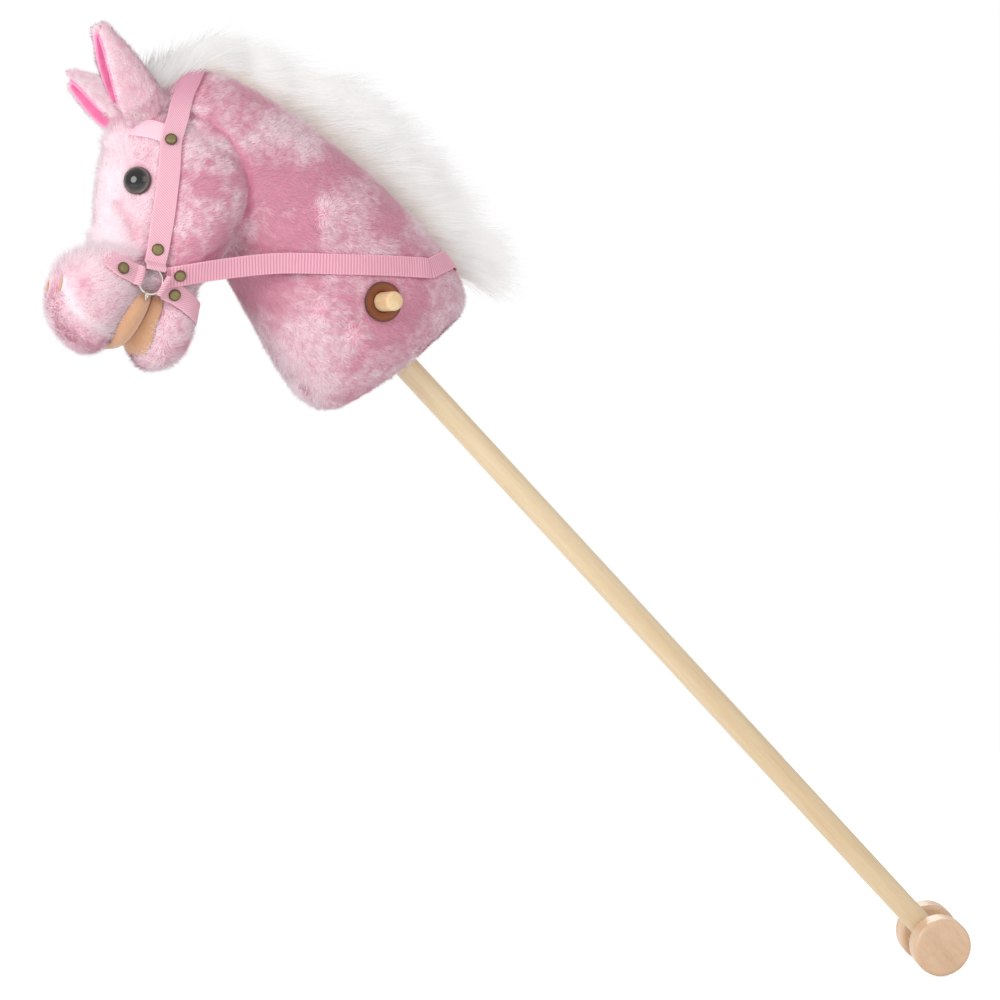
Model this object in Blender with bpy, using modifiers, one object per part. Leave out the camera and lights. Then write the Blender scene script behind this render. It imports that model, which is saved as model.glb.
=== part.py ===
# Hobby horse: a stuffed plush head with a webbing bridle, on a wooden stick with
# a cross handle and a pair of wheels. Metres, +Z up.
# Everything is modelled upright about the stick and then leaned over as it is ridden.
# The origin is where the handle crosses the stick. Upright, the stick runs along Z,
# the muzzle points along -X and the horse's left side faces -Y.

from math import asin, cos, pi, radians, sin

import bmesh
import bpy
from mathutils import Matrix, Vector
from mathutils.bvhtree import BVHTree

MM = 0.001

# Fits
GAP = 0.3 * MM  # between pieces that touch
WHEEL_PLAY = 1.0 * MM  # between a wheel and the stick

# Stick
STICK_LEAN = radians(46.3)  # from upright, as it is ridden
STICK_DIAMETER = 18 * MM
STICK_ABOVE_GRIP = 130 * MM
STICK_BELOW_GRIP = 686 * MM
STICK_EDGE = 1.5 * MM

# Wheels and their axle
AXLE_ABOVE_END = 15 * MM  # of the stick
AXLE_DIAMETER = 6 * MM
AXLE_EDGE = 0.5 * MM
AXLE_TWIST = radians(20)  # about the stick, against the handle
AXLE_IN_WHEEL = 13 * MM
WHEEL_DIAMETER = 44 * MM
WHEEL_THICKNESS = 19 * MM
WHEEL_EDGE = 3 * MM

# Handle
HANDLE_DIAMETER = 14 * MM
HANDLE_LENGTH = 150 * MM  # end to end
HANDLE_EDGE = 2.5 * MM
TENON_DIAMETER = 9 * MM

# Leather discs round the handle
DISC_DIAMETER = 29 * MM
DISC_THICKNESS = 2 * MM
DISC_DISH = 1.2 * MM
DISC_BEND = 0.75  # of its radius, where its rim turns up
DISC_SUNK = 1.5 * MM  # drawn into the plush by its stitches

# Eyes: a domed front, a shank through the plush and a lock washer behind it
EYE_PLACE = (-64.5, 189.4)
EYE_DIAMETER = 20.5 * MM
EYE_DOME = 6.5 * MM
EYE_RIM = 1.2 * MM
EYE_SUNK = 2.2 * MM
SHANK_DIAMETER = 5 * MM
SHANK_LENGTH = 14 * MM
WASHER_DIAMETER = 17 * MM
WASHER_THICKNESS = 1.6 * MM
WASHER_DEPTH = 9 * MM  # of its front, behind the eye

# Nostrils: stitched slits
NOSTRIL_PLACE = (-154, 11)  # along X, and out from the middle
NOSTRIL_LENGTH = 10.5 * MM
NOSTRIL_WIDTH = 2.6 * MM
NOSTRIL_THICKNESS = 1.2 * MM

# Ears: a curved leaf of plush with a satin lining
EAR_LENGTH = 71 * MM
EAR_DEPTH = 23 * MM  # from the fold at its back to its open front
EAR_HALF_WIDTH = 11 * MM
EAR_CURL = radians(96)  # round to each edge from the fold
EAR_TWIST = radians(25)  # of the tip against the root
EAR_TIP = 5 * MM
EAR_CENTRE = 0.45  # of its depth, from the fold
EAR_THICKNESS = 5 * MM
EAR_LINING_THICKNESS = 1.2 * MM
EAR_LINING_SPAN = (0.22, 0.93)  # of the ear's length
EAR_ROOT_DEPTH = 11 * MM
# Root on the head in millimetres, the way the ear points and the way it opens
EAR_LEFT = ((-19, -13, 225), (0.23, -0.13, 1), (-1, 0.45, 0))
EAR_RIGHT = ((-17, 25, 214), (0.08, 0.84, 0.53), (-0.86, -0.35, -0.26))

# Bridle
STRAP_WIDTH = 15 * MM
STRAP_THICKNESS = 1.2 * MM
STRAP_LIFT = 0.8 * MM  # over the plush, which curves between the strap's own facets
STRAP_STEP = 7 * MM
STRAP_RISE = 6 * MM  # most that an edge stands over the middle
STRAP_FALL = 2.5 * MM  # most that an edge drops
STRAP_CLEAR = 3 * MM  # over and under a strap, from another that stops at its edge
NECK_LEAST = 28 * MM  # a rein spans whatever is nearer the middle than this
REACH = 200 * MM  # from the middle to well outside the plush
RIVET_DIAMETER = 8.8 * MM
RIVET_HEIGHT = 2.2 * MM
RIVET_CLEAR = 0.8 * MM  # over the highest strap under it
RING_PLACE = (-111, 134.5)
RING_RADIUS = 9.5 * MM
RING_WIRE = 2 * MM
RING_CLEAR = 1 * MM  # from the ring to the ends of the straps
LINK_RADIUS = 3.5 * MM
LINK_WIRE = 1.2 * MM
LINK_TURN = radians(208)  # where it hangs on the ring
LINK_TILT = radians(35)  # over the lip

# Plush forms. Each station is a point on the form's front or top, the point across
# from it on the form's back or underside, and half the width there, in millimetres.
NECK_STATIONS = (
    ((-58, -48), (54, -67), 24),
    ((-72, -39), (69, -62), 42),
    ((-76, -21), (79, -40), 53),
    ((-70, 10), (79, 4), 58),
    ((-61, 41), (78, 45), 57),
    ((-54, 73), (74, 81), 52),
    ((-48, 105), (68, 115), 46),
    ((-44, 139), (60, 151), 41),
    ((-38, 171), (49, 185), 36),
    ((-28, 195), (34, 208), 28),
    ((-14, 209), (16, 217), 15),
)
HEAD_STATIONS = (
    ((2, 181), (-2, 141), 24),
    ((2, 201), (-6, 121), 38),
    ((-10, 218), (-20, 107), 46),
    ((-26, 225), (-38, 102), 49),
    ((-45, 221), (-54, 100), 49),
    ((-64, 211), (-68, 97), 46),
    ((-82, 199), (-82, 96), 41),
    ((-99, 185), (-95, 100), 33),
    ((-114, 173), (-110, 111), 26),
    ((-124, 163), (-120, 129), 18),
)
MUZZLE_STATIONS = (
    ((-96, 161), (-92, 137), 22),
    ((-106, 168), (-102, 131), 31),
    ((-119, 176), (-115, 126), 36),
    ((-135, 183), (-133, 123), 38),
    ((-151, 180), (-150, 120), 35),
    ((-166, 169), (-166, 117), 28),
    ((-175, 153), (-176, 127), 16),
)
CHIN_STATIONS = (
    ((-82, 109), (-78, 100), 19),
    ((-92, 117), (-88, 95), 27),
    ((-106, 121), (-102, 79), 32),
    ((-122, 119), (-120, 68), 31),
    ((-135, 113), (-137, 72), 22),
    ((-143, 105), (-147, 80), 12),
    ((-147, 97), (-150, 89), 6),
)
UPPER_LINING_STATIONS = (
    ((-106, 139), (-108, 122), 22),
    ((-116, 142), (-117, 116), 31),
    ((-132, 142), (-132, 112), 34),
    ((-147, 140), (-146, 108), 31),
    ((-161, 135), (-160, 111), 21),
)
LOWER_LINING_STATIONS = (
    ((-98, 121), (-98, 103), 16),
    ((-108, 131), (-108, 98), 25),
    ((-121, 131), (-125, 90), 27),
    ((-133, 125), (-138, 84), 22),
    ((-142, 114), (-146, 83), 14),
    ((-146, 104), (-149, 90), 7),
)
MANE_STATIONS = (
    ((12, 201), (20, 227), 6),
    ((22, 197), (44, 225), 10),
    ((36, 181), (76, 201), 13),
    ((50, 147), (104, 147), 16),
    ((58, 109), (120, 97), 17),
    ((62, 69), (129, 47), 17),
    ((64, 31), (130, -5), 16),
    ((64, -1), (124, -47), 13),
    ((68, -19), (110, -71), 8),
)

# Straps. Each step of a route is a place in the middle plane, in millimetres, and the
# way out from it to the plush. A route that ends in the middle goes on, mirrored.
# The headpiece, noseband, chin strap and rein set off from the bit ring.
SIDE, TOP, UNDER, BACK = (0, -1, 0), (0, 0, 1), (0, 0, -1), (1, 0, 0)
HEADPIECE_ROUTE = (
    ((-92, 147), SIDE),
    ((-60, 171), SIDE),
    ((-28, 189), (0, -1, 0.1)),
    ((-12, 191), (0.1, -1, 0.25)),
    ((5, 186), (0.35, -1, 0.9)),
    ((16, 175), (0.5, -0.3, 1)),
    ((19, 171), (0.55, 0, 1)),
)
BROWBAND_ROUTE = (
    ((-26, 183), (0, -1, 0.42)),
    ((-30, 185), (0, -1, 0.9)),
    ((-34, 185), (0, -0.5, 1)),
    ((-38, 185), TOP),
)
NOSEBAND_ROUTE = (
    ((-120, 155), (0, -1, 0.05)),
    ((-121, 147), (0, -0.8, 0.9)),
    ((-121, 145), TOP),
)
CHIN_STRAP_ROUTE = (
    ((-102, 111), SIDE),
    ((-99, 106), (0, -1, -0.5)),
    ((-96, 110), (0, -0.6, -1)),
    ((-95, 110), UNDER),
)
REIN_ROUTE = (
    ((-92, 121), SIDE),
    ((-78, 111), SIDE),
    ((-37, 78), SIDE),
    ((-2, 40), SIDE),
    ((30, 6), SIDE),
    ((46, -12), SIDE),
)
REIN_TAB_ROUTE = (
    ((45.3, -11.2), SIDE),
    ((54, -22), (0.25, -1, 0)),
    ((56, -29), (0.8, -1, 0)),
    ((54, -35), (1, -0.4, 0)),
    ((50, -37), BACK),
)
# Rivets, by the strap that each one is on, in the middle plane in millimetres
RIVETS = {
    "rivet_cheek": ("headpiece", (-92, 147)),
    "rivet_brow": ("headpiece", (-28, 193)),
    "rivet_nose": ("noseband", (-121, 157)),
    "rivet_rein": ("rein", (-93.5, 122.5)),
    "rivet_chin": ("chin_strap", (-104, 114)),
}

# Colours
WOOD = (0.80, 0.63, 0.38)
BEECH = (0.78, 0.53, 0.34)
PLUSH = (0.82, 0.42, 0.53)
LONG_FUR = (0.9, 0.88, 0.85)
SATIN = (0.85, 0.2, 0.42)
LINING = (0.72, 0.44, 0.25)
NOSTRIL = (0.62, 0.42, 0.2)
WEBBING = (0.86, 0.42, 0.55)
LEATHER = (0.25, 0.08, 0.03)
EYE_BLACK = (0.01, 0.01, 0.012)
WASHER_WHITE = (0.9, 0.9, 0.9)
STEEL = (0.62, 0.58, 0.52)
BRASS = (0.22, 0.18, 0.09)

partsCollection = bpy.data.collections.new("hobby_horse")
guidesCollection = bpy.data.collections.new("cutters")


def clear_scene():
    for thing in list(bpy.data.objects):
        bpy.data.objects.remove(thing, do_unlink=True)
    for collection in (partsCollection, guidesCollection):
        bpy.context.scene.collection.children.link(collection)


def material(name, colour, roughness, metallic=0.0):
    made = bpy.data.materials.new(name)
    made.use_nodes = True
    shader = made.node_tree.nodes["Principled BSDF"]
    shader.inputs["Base Color"].default_value = (*colour, 1)
    shader.inputs["Roughness"].default_value = roughness
    shader.inputs["Metallic"].default_value = metallic
    return made


def add_part(name, mesh, colour, roughness, metallic=0.0):
    part = bpy.data.objects.new(name, mesh)
    mesh.materials.append(material(name, colour, roughness, metallic))
    partsCollection.objects.link(part)
    return part


def add_guide(name, mesh):
    guide = bpy.data.objects.new(name, mesh)
    guide.hide_render = True
    guide.display_type = "WIRE"
    guidesCollection.objects.link(guide)
    return guide


# Stuffed forms


def section(front, back, half_width, count, power, narrowing):
    # One ring of a form: a little fuller than an ellipse, and narrower to the front
    a, b = (Vector((x, 0, z)) * MM for x, z in (front, back))
    middle, reach = (a + b) / 2, (a - b) / 2
    for i in range(count):
        turn = 2 * pi * (i + 0.5) / count
        along = abs(cos(turn)) ** (2 / power) * (1 if cos(turn) > 0 else -1)
        across = abs(sin(turn)) ** (2 / power) * (1 if sin(turn) > 0 else -1)
        across *= 1 - narrowing * along
        yield middle + reach * along + Vector((0, half_width * MM * across, 0))


def stuffed_mesh(name, stations, count=16, power=2.3, narrowing=0):
    # A coarse loft through the stations
    bm = bmesh.new()
    rings = [
        [bm.verts.new(p) for p in section(*station, count, power, narrowing)]
        for station in stations
    ]
    for near, far in zip(rings, rings[1:]):
        for i in range(count):
            j = (i + 1) % count
            bm.faces.new((near[i], near[j], far[j], far[i]))
    for ring in (rings[0], rings[-1]):
        bm.faces.new(ring)
    bmesh.ops.recalc_face_normals(bm, faces=bm.faces)
    mesh = bpy.data.meshes.new(name)
    bm.to_mesh(mesh)
    bm.free()
    mesh.shade_smooth()
    return mesh


def subdivide(thing, levels=1):
    rounding = thing.modifiers.new("rounding", "SUBSURF")
    rounding.levels = levels
    rounding.render_levels = levels


def stuffed_form(name, stations, colour, **shape):
    form = add_part(name, stuffed_mesh(name, stations, **shape), colour, 0.95)
    subdivide(form)
    return form


def baked(thing):
    # The mesh with its modifiers applied
    bpy.context.view_layer.update()
    seen = thing.evaluated_get(bpy.context.evaluated_depsgraph_get())
    return bpy.data.meshes.new_from_object(seen)


def grown(thing, distance):
    # A cutter a little larger than the thing
    mesh = baked(thing)
    bm = bmesh.new()
    bm.from_mesh(mesh)
    bm.normal_update()
    moves = [v.normal * v.calc_shell_factor() * distance for v in bm.verts]
    for vertex, move in zip(bm.verts, moves):
        vertex.co += move
    bm.to_mesh(mesh)
    bm.free()
    guide = add_guide(thing.name + "_room", mesh)
    guide.matrix_world = thing.matrix_world
    return guide


def cut(thing, cutter):
    difference = thing.modifiers.new("cut by " + cutter.name, "BOOLEAN")
    difference.operation = "DIFFERENCE"
    difference.solver = "EXACT"
    difference.object = cutter


def skin_of(thing):
    # What rays are cast at, in the upright frame
    bpy.context.view_layer.update()
    mesh = baked(thing)
    mesh.transform(thing.matrix_world)
    skin = BVHTree.FromPolygons(
        [v.co.copy() for v in mesh.vertices], [p.vertices[:] for p in mesh.polygons]
    )
    bpy.data.meshes.remove(mesh)
    return skin


def outermost(skins, base, out):
    # The first of the skins that a line meets on its way in to base
    out = out.normalized()
    hits = [skin.ray_cast(base + out * REACH, -out, REACH) for skin in skins]
    hits = [hit for hit in hits if hit[0] is not None]
    return min(hits, key=lambda hit: hit[3])[:2] if hits else None


def seat_height(skins, point, out, radius):
    # How far above point a flat base of that radius first meets the skins
    beside = facing(point, out).to_3x3()
    heights = [0.0]
    for share in (0.3, 0.6, 0.8, 1.0):
        for i in range(24):
            turn = i * pi / 12
            spot = point + beside @ Vector((cos(turn), sin(turn), 0)) * radius * share
            for skin in skins:
                hit = skin.ray_cast(spot + out * radius, -out, 2 * radius)
                if hit[0] is not None:
                    heights.append((hit[0] - point).dot(out))
    return max(heights)


def flat(place, y=0.0):
    return Vector((place[0] * MM, y, place[1] * MM))


def facing(point, out, up=Vector((0, 0, 1))):
    # A place whose Z points out
    out = out.normalized()
    side = up.cross(out).normalized()
    turned = Matrix((side, out.cross(side), out)).transposed().to_4x4()
    turned.translation = point
    return turned


# Turned pieces


def corner(x, z, radius, start, stop, steps=3):
    # An arc of a profile about (x, z), from one angle to another in degrees
    for i in range(steps + 1):
        turn = radians(start + (stop - start) * i / steps)
        yield x + radius * cos(turn), z + radius * sin(turn)


def turned_mesh(name, profile, steps):
    # The profile runs from the top down the outside, and may come back to where it starts
    mesh = bpy.data.meshes.new(name)
    closed = (Vector(profile[0]) - Vector(profile[-1])).length < 1e-7
    if closed:
        profile = profile[:-1]
    edges = [(i, i + 1) for i in range(len(profile) - 1)]
    if closed:
        edges.append((len(profile) - 1, 0))
    mesh.from_pydata([(x, 0, z) for x, z in profile], edges, [])
    turner = bpy.data.objects.new(name, mesh)
    guidesCollection.objects.link(turner)
    screw = turner.modifiers.new("turning", "SCREW")
    screw.axis = "Z"
    screw.steps = steps
    screw.render_steps = steps
    screw.use_merge_vertices = True
    screw.merge_threshold = 1e-5
    made = baked(turner)
    bpy.data.objects.remove(turner)
    bpy.data.meshes.remove(mesh)
    made.name = name
    made.shade_smooth()
    made.set_sharp_from_angle(angle=radians(35))
    return made


def rod_profile(radius, top, bottom, edge):
    return [
        (0, top),
        *corner(radius - edge, top - edge, edge, 90, 0),
        *corner(radius - edge, bottom + edge, edge, 0, -90),
        (0, bottom),
    ]


def cylinder(name, radius, length, place, steps=32):
    mesh = turned_mesh(
        name, [(0, length / 2), (radius, length / 2), (radius, -length / 2), (0, -length / 2)], steps
    )
    guide = add_guide(name, mesh)
    guide.matrix_world = place
    return guide


ACROSS = Matrix.Rotation(pi / 2, 4, "X")  # local Z to -Y, the horse's left
SIDES = {"left": 1, "right": -1}


def mirrored(matrix):
    # The same place on the horse's right
    flip = Matrix.Diagonal((1, -1, 1, 1))
    return flip @ matrix @ Matrix.Diagonal((-1, 1, 1, 1))


def on_side(side, matrix):
    return matrix if side == "left" else mirrored(matrix)


def make_stick():
    profile = rod_profile(STICK_DIAMETER / 2, STICK_ABOVE_GRIP, -STICK_BELOW_GRIP, STICK_EDGE)
    stick = add_part("stick", turned_mesh("stick", profile, 28), WOOD, 0.5)
    reach = STICK_DIAMETER * 2
    cut(stick, cylinder("tenon_bore", TENON_DIAMETER / 2 + GAP, reach, ACROSS, 20))
    axle_bore = cylinder("axle_bore", AXLE_DIAMETER / 2 + GAP, reach, axle_place(), 18)
    cut(stick, axle_bore)
    return stick


def axle_place():
    lower = Matrix.Translation((0, 0, AXLE_ABOVE_END - STICK_BELOW_GRIP))
    return lower @ Matrix.Rotation(-AXLE_TWIST, 4, "Z") @ ACROSS


def make_handle(side):
    radius, tenon, edge = HANDLE_DIAMETER / 2, TENON_DIAMETER / 2, HANDLE_EDGE
    shoulder = STICK_DIAMETER / 2 + GAP
    profile = [
        (0, HANDLE_LENGTH / 2),
        *corner(radius - edge, HANDLE_LENGTH / 2 - edge, edge, 90, 0),
        (radius, shoulder),
        (tenon, shoulder),
        (tenon, GAP / 2),
        (0, GAP / 2),
    ]
    handle = add_part("handle_" + side, turned_mesh("handle_" + side, profile, 20), WOOD, 0.5)
    handle.matrix_world = on_side(side, ACROSS)


def make_wheels():
    # The axle and both wheels turn together about the pivot
    pivot = bpy.data.objects.new("wheel_pivot", None)
    partsCollection.objects.link(pivot)
    pivot.matrix_world = axle_place()
    half_gap = STICK_DIAMETER / 2 + WHEEL_PLAY
    half_axle = half_gap + AXLE_IN_WHEEL - GAP
    axle_profile = rod_profile(AXLE_DIAMETER / 2, half_axle, -half_axle, AXLE_EDGE)
    axle = add_part("axle", turned_mesh("axle", axle_profile, 16), WOOD, 0.5)
    pieces = [(axle, Matrix())]
    radius, edge, bore = WHEEL_DIAMETER / 2, WHEEL_EDGE, AXLE_DIAMETER / 2 + GAP
    profile = [
        (0, WHEEL_THICKNESS),
        *corner(radius - edge, WHEEL_THICKNESS - edge, edge, 90, 0),
        *corner(radius - edge, edge, edge, 0, -90),
        (bore, 0),
        (bore, AXLE_IN_WHEEL),
        (0, AXLE_IN_WHEEL),
    ]
    for side in SIDES:
        mesh = turned_mesh("wheel_" + side, profile, 36)
        wheel = add_part("wheel_" + side, mesh, BEECH, 0.45)
        outward = Matrix.Translation((0, 0, half_gap))
        over = Matrix() if side == "left" else Matrix.Rotation(pi, 4, "X")
        pieces.append((wheel, over @ outward))
    for piece, place in pieces:
        piece.parent = pivot
        piece.matrix_basis = place


# Straps


def hits_along(route, skins, least, samples=12):
    # Points on the plush under a route, each with the way out. Where the plush is
    # missing, or nearer the middle than least, the strap spans a gap
    found = []
    for (place, out), (next_place, next_out) in zip(route, route[1:]):
        for i in range(samples):
            share = i / samples
            base = flat(place).lerp(flat(next_place), share)
            way = Vector(out).lerp(Vector(next_out), share)
            hit = outermost(skins, base, way)
            far_out = hit is not None and (hit[0] - base).length > least
            found.append(hit if far_out else None)
    found.append(outermost(skins, flat(route[-1][0]), Vector(route[-1][1])))
    known = [i for i, hit in enumerate(found) if hit]
    for i, hit in enumerate(found):
        if hit is None:
            before = max(k for k in known if k < i)
            after = min(k for k in known if k > i)
            share = (i - before) / (after - before)
            found[i] = tuple(found[before][n].lerp(found[after][n], share) for n in (0, 1))
    return [(point.copy(), way.normalized()) for point, way in found]


def spaced(line, step):
    # The same line with evenly spaced points
    lengths = [0.0]
    for (a, _), (b, _) in zip(line, line[1:]):
        lengths.append(lengths[-1] + (b - a).length)
    count = max(2, round(lengths[-1] / step))
    made, k = [], 0
    for i in range(count + 1):
        wanted = lengths[-1] * i / count
        while k < len(line) - 2 and lengths[k + 1] < wanted:
            k += 1
        share = (wanted - lengths[k]) / max(lengths[k + 1] - lengths[k], 1e-9)
        share = min(max(share, 0), 1)
        made.append(tuple(line[k][n].lerp(line[k + 1][n], share) for n in (0, 1)))
    return made


def pulled_taut(points, ways, rounds=200):
    # A strap bridges hollows and never dips into them
    for _ in range(rounds):
        for i in range(1, len(points) - 1):
            dip = ((points[i - 1] + points[i + 1]) / 2 - points[i]).dot(ways[i])
            if dip > 0:
                points[i] = points[i] + ways[i] * dip


def height_over(skins, spot, way):
    # How far above spot the plush is, as far as webbing that wide can follow it
    heights = []
    for skin in skins:
        hit = skin.ray_cast(spot + way * STRAP_WIDTH * 2, -way, STRAP_WIDTH * 4)
        if hit[0] is not None:
            heights.append((hit[0] - spot).dot(way))
    return min(max([-STRAP_FALL, *heights]), STRAP_RISE)


def strap_mesh(name, route, skins, width, crosses):
    least = 0 if crosses else NECK_LEAST
    line = spaced(hits_along(route, skins, least), STRAP_STEP)
    if crosses:
        other = [(Vector((p.x, -p.y, p.z)), Vector((n.x, -n.y, n.z))) for p, n in line[:-1]]
        line = line + other[::-1]
    points = [p for p, _ in line]
    ways = [n for _, n in line]
    for _ in range(3):
        ways = [
            (ways[max(i - 1, 0)] + ways[i] * 2 + ways[min(i + 1, len(ways) - 1)]).normalized()
            for i in range(len(ways))
        ]
    pulled_taut(points, ways)
    rows = [[], [], []]
    for i, (point, way) in enumerate(zip(points, ways)):
        along = (points[min(i + 1, len(points) - 1)] - points[max(i - 1, 0)]).normalized()
        beside = along.cross(way).normalized()
        for row, place in zip(rows, (-1, 0, 1)):
            spot = point + beside * width / 2 * place
            rise = max(
                height_over(skins, point + beside * width / 2 * near, way)
                for near in (max(place - 0.5, -1), place, min(place + 0.5, 1))
            )
            row.append(spot + way * (rise + STRAP_LIFT))
    for row in rows:
        pulled_taut(row, ways, 30)
    for i, way in enumerate(ways):
        dip = ((rows[0][i] + rows[2][i]) / 2 - rows[1][i]).dot(way)
        if dip > 0:
            rows[1][i] = rows[1][i] + way * dip
    bm = bmesh.new()
    made = [[bm.verts.new(p) for p in row] for row in rows]
    for near, far in zip(made, made[1:]):
        for i in range(len(near) - 1):
            bm.faces.new((near[i], near[i + 1], far[i + 1], far[i]))
    bm.normal_update()
    if sum(face.normal.dot(ways[0]) for face in list(bm.faces)[:2]) < 0:
        bmesh.ops.reverse_faces(bm, faces=bm.faces)
    mesh = bpy.data.meshes.new(name)
    bm.to_mesh(mesh)
    bm.free()
    mesh.shade_smooth()
    return mesh


def make_strap(name, route, skins, crosses=True, mirrored_from=None):
    if mirrored_from:
        mesh = mirror_mesh(mirrored_from.data, name)
    else:
        mesh = strap_mesh(name, route, skins, STRAP_WIDTH, crosses)
    strap = add_part(name, mesh, WEBBING, 0.8)
    thick = strap.modifiers.new("thickness", "SOLIDIFY")
    thick.thickness = STRAP_THICKNESS
    thick.offset = 1
    thick.use_even_offset = True
    return strap


def strap_room(strap):
    # What passes a strap stops at its edges, over it and under it as well
    sleeve = add_guide(strap.name + "_sleeve", strap.data.copy())
    thick = sleeve.modifiers.new("thickness", "SOLIDIFY")
    thick.thickness = STRAP_THICKNESS + 2 * STRAP_CLEAR
    thick.offset = 1 - 2 * STRAP_CLEAR / thick.thickness
    thick.use_even_offset = True
    return grown(sleeve, GAP)


def from_ring(route):
    ring, first = Vector(RING_PLACE), Vector(route[0][0])
    clear = (RING_RADIUS + RING_WIRE / 2 + RING_CLEAR) / MM
    start = ring + (first - ring).normalized() * clear
    return (tuple(start), SIDE), *route


def mirror_mesh(mesh, name):
    made = mesh.copy()
    made.name = name
    made.materials.clear()
    made.transform(Matrix.Diagonal((1, -1, 1, 1)))
    made.flip_normals()
    return made


# The horse

clear_scene()
make_stick()
make_wheels()
for side in SIDES:
    make_handle(side)

neck = stuffed_form("neck", NECK_STATIONS, PLUSH)
head = stuffed_form("head", HEAD_STATIONS, PLUSH, narrowing=0.42)
muzzle = stuffed_form("muzzle", MUZZLE_STATIONS, PLUSH)
chin = stuffed_form("chin", CHIN_STATIONS, PLUSH, count=12)
upper = stuffed_form("upper_lip_lining", UPPER_LINING_STATIONS, LINING, count=12)
lower = stuffed_form("lower_lip_lining", LOWER_LINING_STATIONS, LINING, count=12)
mane = stuffed_form("mane", MANE_STATIONS, LONG_FUR, count=12)

skins = [skin_of(form) for form in (neck, head, muzzle, chin)]
face_skins = [skin_of(form) for form in (head, muzzle, chin)]
neck_room = grown(neck, GAP)
head_room = grown(head, GAP)
muzzle_room = grown(muzzle, GAP)
chin_room = grown(chin, GAP)
upper_room = grown(upper, GAP)
cut(head, neck_room)
cut(muzzle, head_room)
for room in (head_room, muzzle_room):
    cut(chin, room)
for room in (muzzle_room, chin_room, head_room):
    cut(upper, room)
for room in (chin_room, muzzle_room, upper_room, head_room):
    cut(lower, room)
for room in (neck_room, head_room):
    cut(mane, room)

# The stick's bore in the neck is blind, and the handle's goes right through
stick_room = STICK_ABOVE_GRIP + GAP
stick_bore = cylinder("stick_bore", STICK_DIAMETER / 2 + GAP, 2 * stick_room, Matrix())
handle_bore = cylinder("handle_bore", HANDLE_DIAMETER / 2 + GAP, HANDLE_LENGTH, ACROSS, 24)
for bore in (stick_bore, handle_bore):
    cut(neck, bore)


def make_disc(side):
    # The disc lies on a flat that its stitches draw into the plush
    seat = abs(outermost([skins[0]], Vector(), Vector((0, -1, 0)))[0].y) - DISC_SUNK
    room = cylinder(
        "disc_seat_" + side,
        DISC_DIAMETER / 2 + 2 * GAP,
        HANDLE_LENGTH,
        on_side(side, Matrix.Translation((0, -seat - HANDLE_LENGTH / 2, 0)) @ ACROSS),
    )
    cut(neck, room)
    hole, rim, edge = HANDLE_DIAMETER / 2 + GAP, DISC_DIAMETER / 2, DISC_THICKNESS / 2
    profile = [
        (hole, DISC_THICKNESS),
        (rim * DISC_BEND, DISC_THICKNESS + DISC_DISH / 2),
        *corner(rim - edge, edge + DISC_DISH, edge, 90, -90),
        (rim * DISC_BEND, 0),
        (hole, 0),
        (hole, DISC_THICKNESS),
    ]
    mesh = turned_mesh("grip_disc_" + side, profile, 24)
    disc = add_part("grip_disc_" + side, mesh, LEATHER, 0.55)
    disc.matrix_world = on_side(side, Matrix.Translation((0, -seat - GAP, 0)) @ ACROSS)


def make_eye(side):
    point, out = outermost(face_skins, flat(EYE_PLACE), Vector(SIDE))
    place = on_side(side, facing(point - out * EYE_SUNK, out))
    radius, shank = EYE_DIAMETER / 2, SHANK_DIAMETER / 2
    dome = (radius**2 + EYE_DOME**2) / (2 * EYE_DOME)
    start = asin(min(radius / dome, 1))
    front = [
        (dome * sin(start * i / 6), EYE_RIM + EYE_DOME - dome + dome * cos(start * i / 6))
        for i in range(7)
    ]
    profile = [*front, (radius, 0), (shank, 0), (shank, -SHANK_LENGTH), (0, -SHANK_LENGTH)]
    eye = add_part("eye_" + side, turned_mesh("eye_" + side, profile, 22), EYE_BLACK, 0.05)
    eye.matrix_world = place
    hole, rim, wall = shank + GAP, WASHER_DIAMETER / 2, WASHER_THICKNESS
    washer_profile = [(hole, 0), (rim, 0), (rim, -wall), (hole, -wall), (hole, 0)]
    mesh = turned_mesh("eye_washer_" + side, washer_profile, 20)
    washer = add_part("eye_washer_" + side, mesh, WASHER_WHITE, 0.5)
    washer.matrix_world = place @ Matrix.Translation((0, 0, -WASHER_DEPTH))
    wide, back, front_gap = rim + GAP, WASHER_DEPTH + wall + GAP, WASHER_DEPTH - GAP
    room_profile = [
        (0, EYE_DIAMETER),
        (radius + GAP, EYE_DIAMETER),
        (radius + GAP, -GAP),
        (hole, -GAP),
        (hole, -front_gap),
        (wide, -front_gap),
        (wide, -back),
        (hole, -back),
        (hole, -SHANK_LENGTH - GAP),
        (0, -SHANK_LENGTH - GAP),
    ]
    room = add_guide("eye_room_" + side, turned_mesh("eye_room_" + side, room_profile, 22))
    room.matrix_world = place
    cut(head, room)


def make_nostril(side):
    x, y = NOSTRIL_PLACE
    heights = [z for front, back, _ in MUZZLE_STATIONS for _, z in (front, back)]
    middle = flat((x, sum(heights) / len(heights)), -y * MM)
    point, out = outermost([skins[2]], middle, Vector(TOP))
    mesh = bpy.data.meshes.new("nostril_" + side)
    bm = bmesh.new()
    bmesh.ops.create_uvsphere(bm, u_segments=12, v_segments=6, radius=0.5)
    scale = (NOSTRIL_WIDTH, NOSTRIL_LENGTH, NOSTRIL_THICKNESS)
    bmesh.ops.scale(bm, vec=scale, verts=bm.verts)
    bm.to_mesh(mesh)
    bm.free()
    mesh.shade_smooth()
    nostril = add_part("nostril_" + side, mesh, NOSTRIL, 0.8)
    lift = seat_height([skins[2]], point, out, NOSTRIL_LENGTH / 2) + NOSTRIL_THICKNESS / 2 + GAP
    nostril.matrix_world = on_side(side, facing(point + out * lift, out, Vector((-1, 0, -0.3))))


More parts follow.
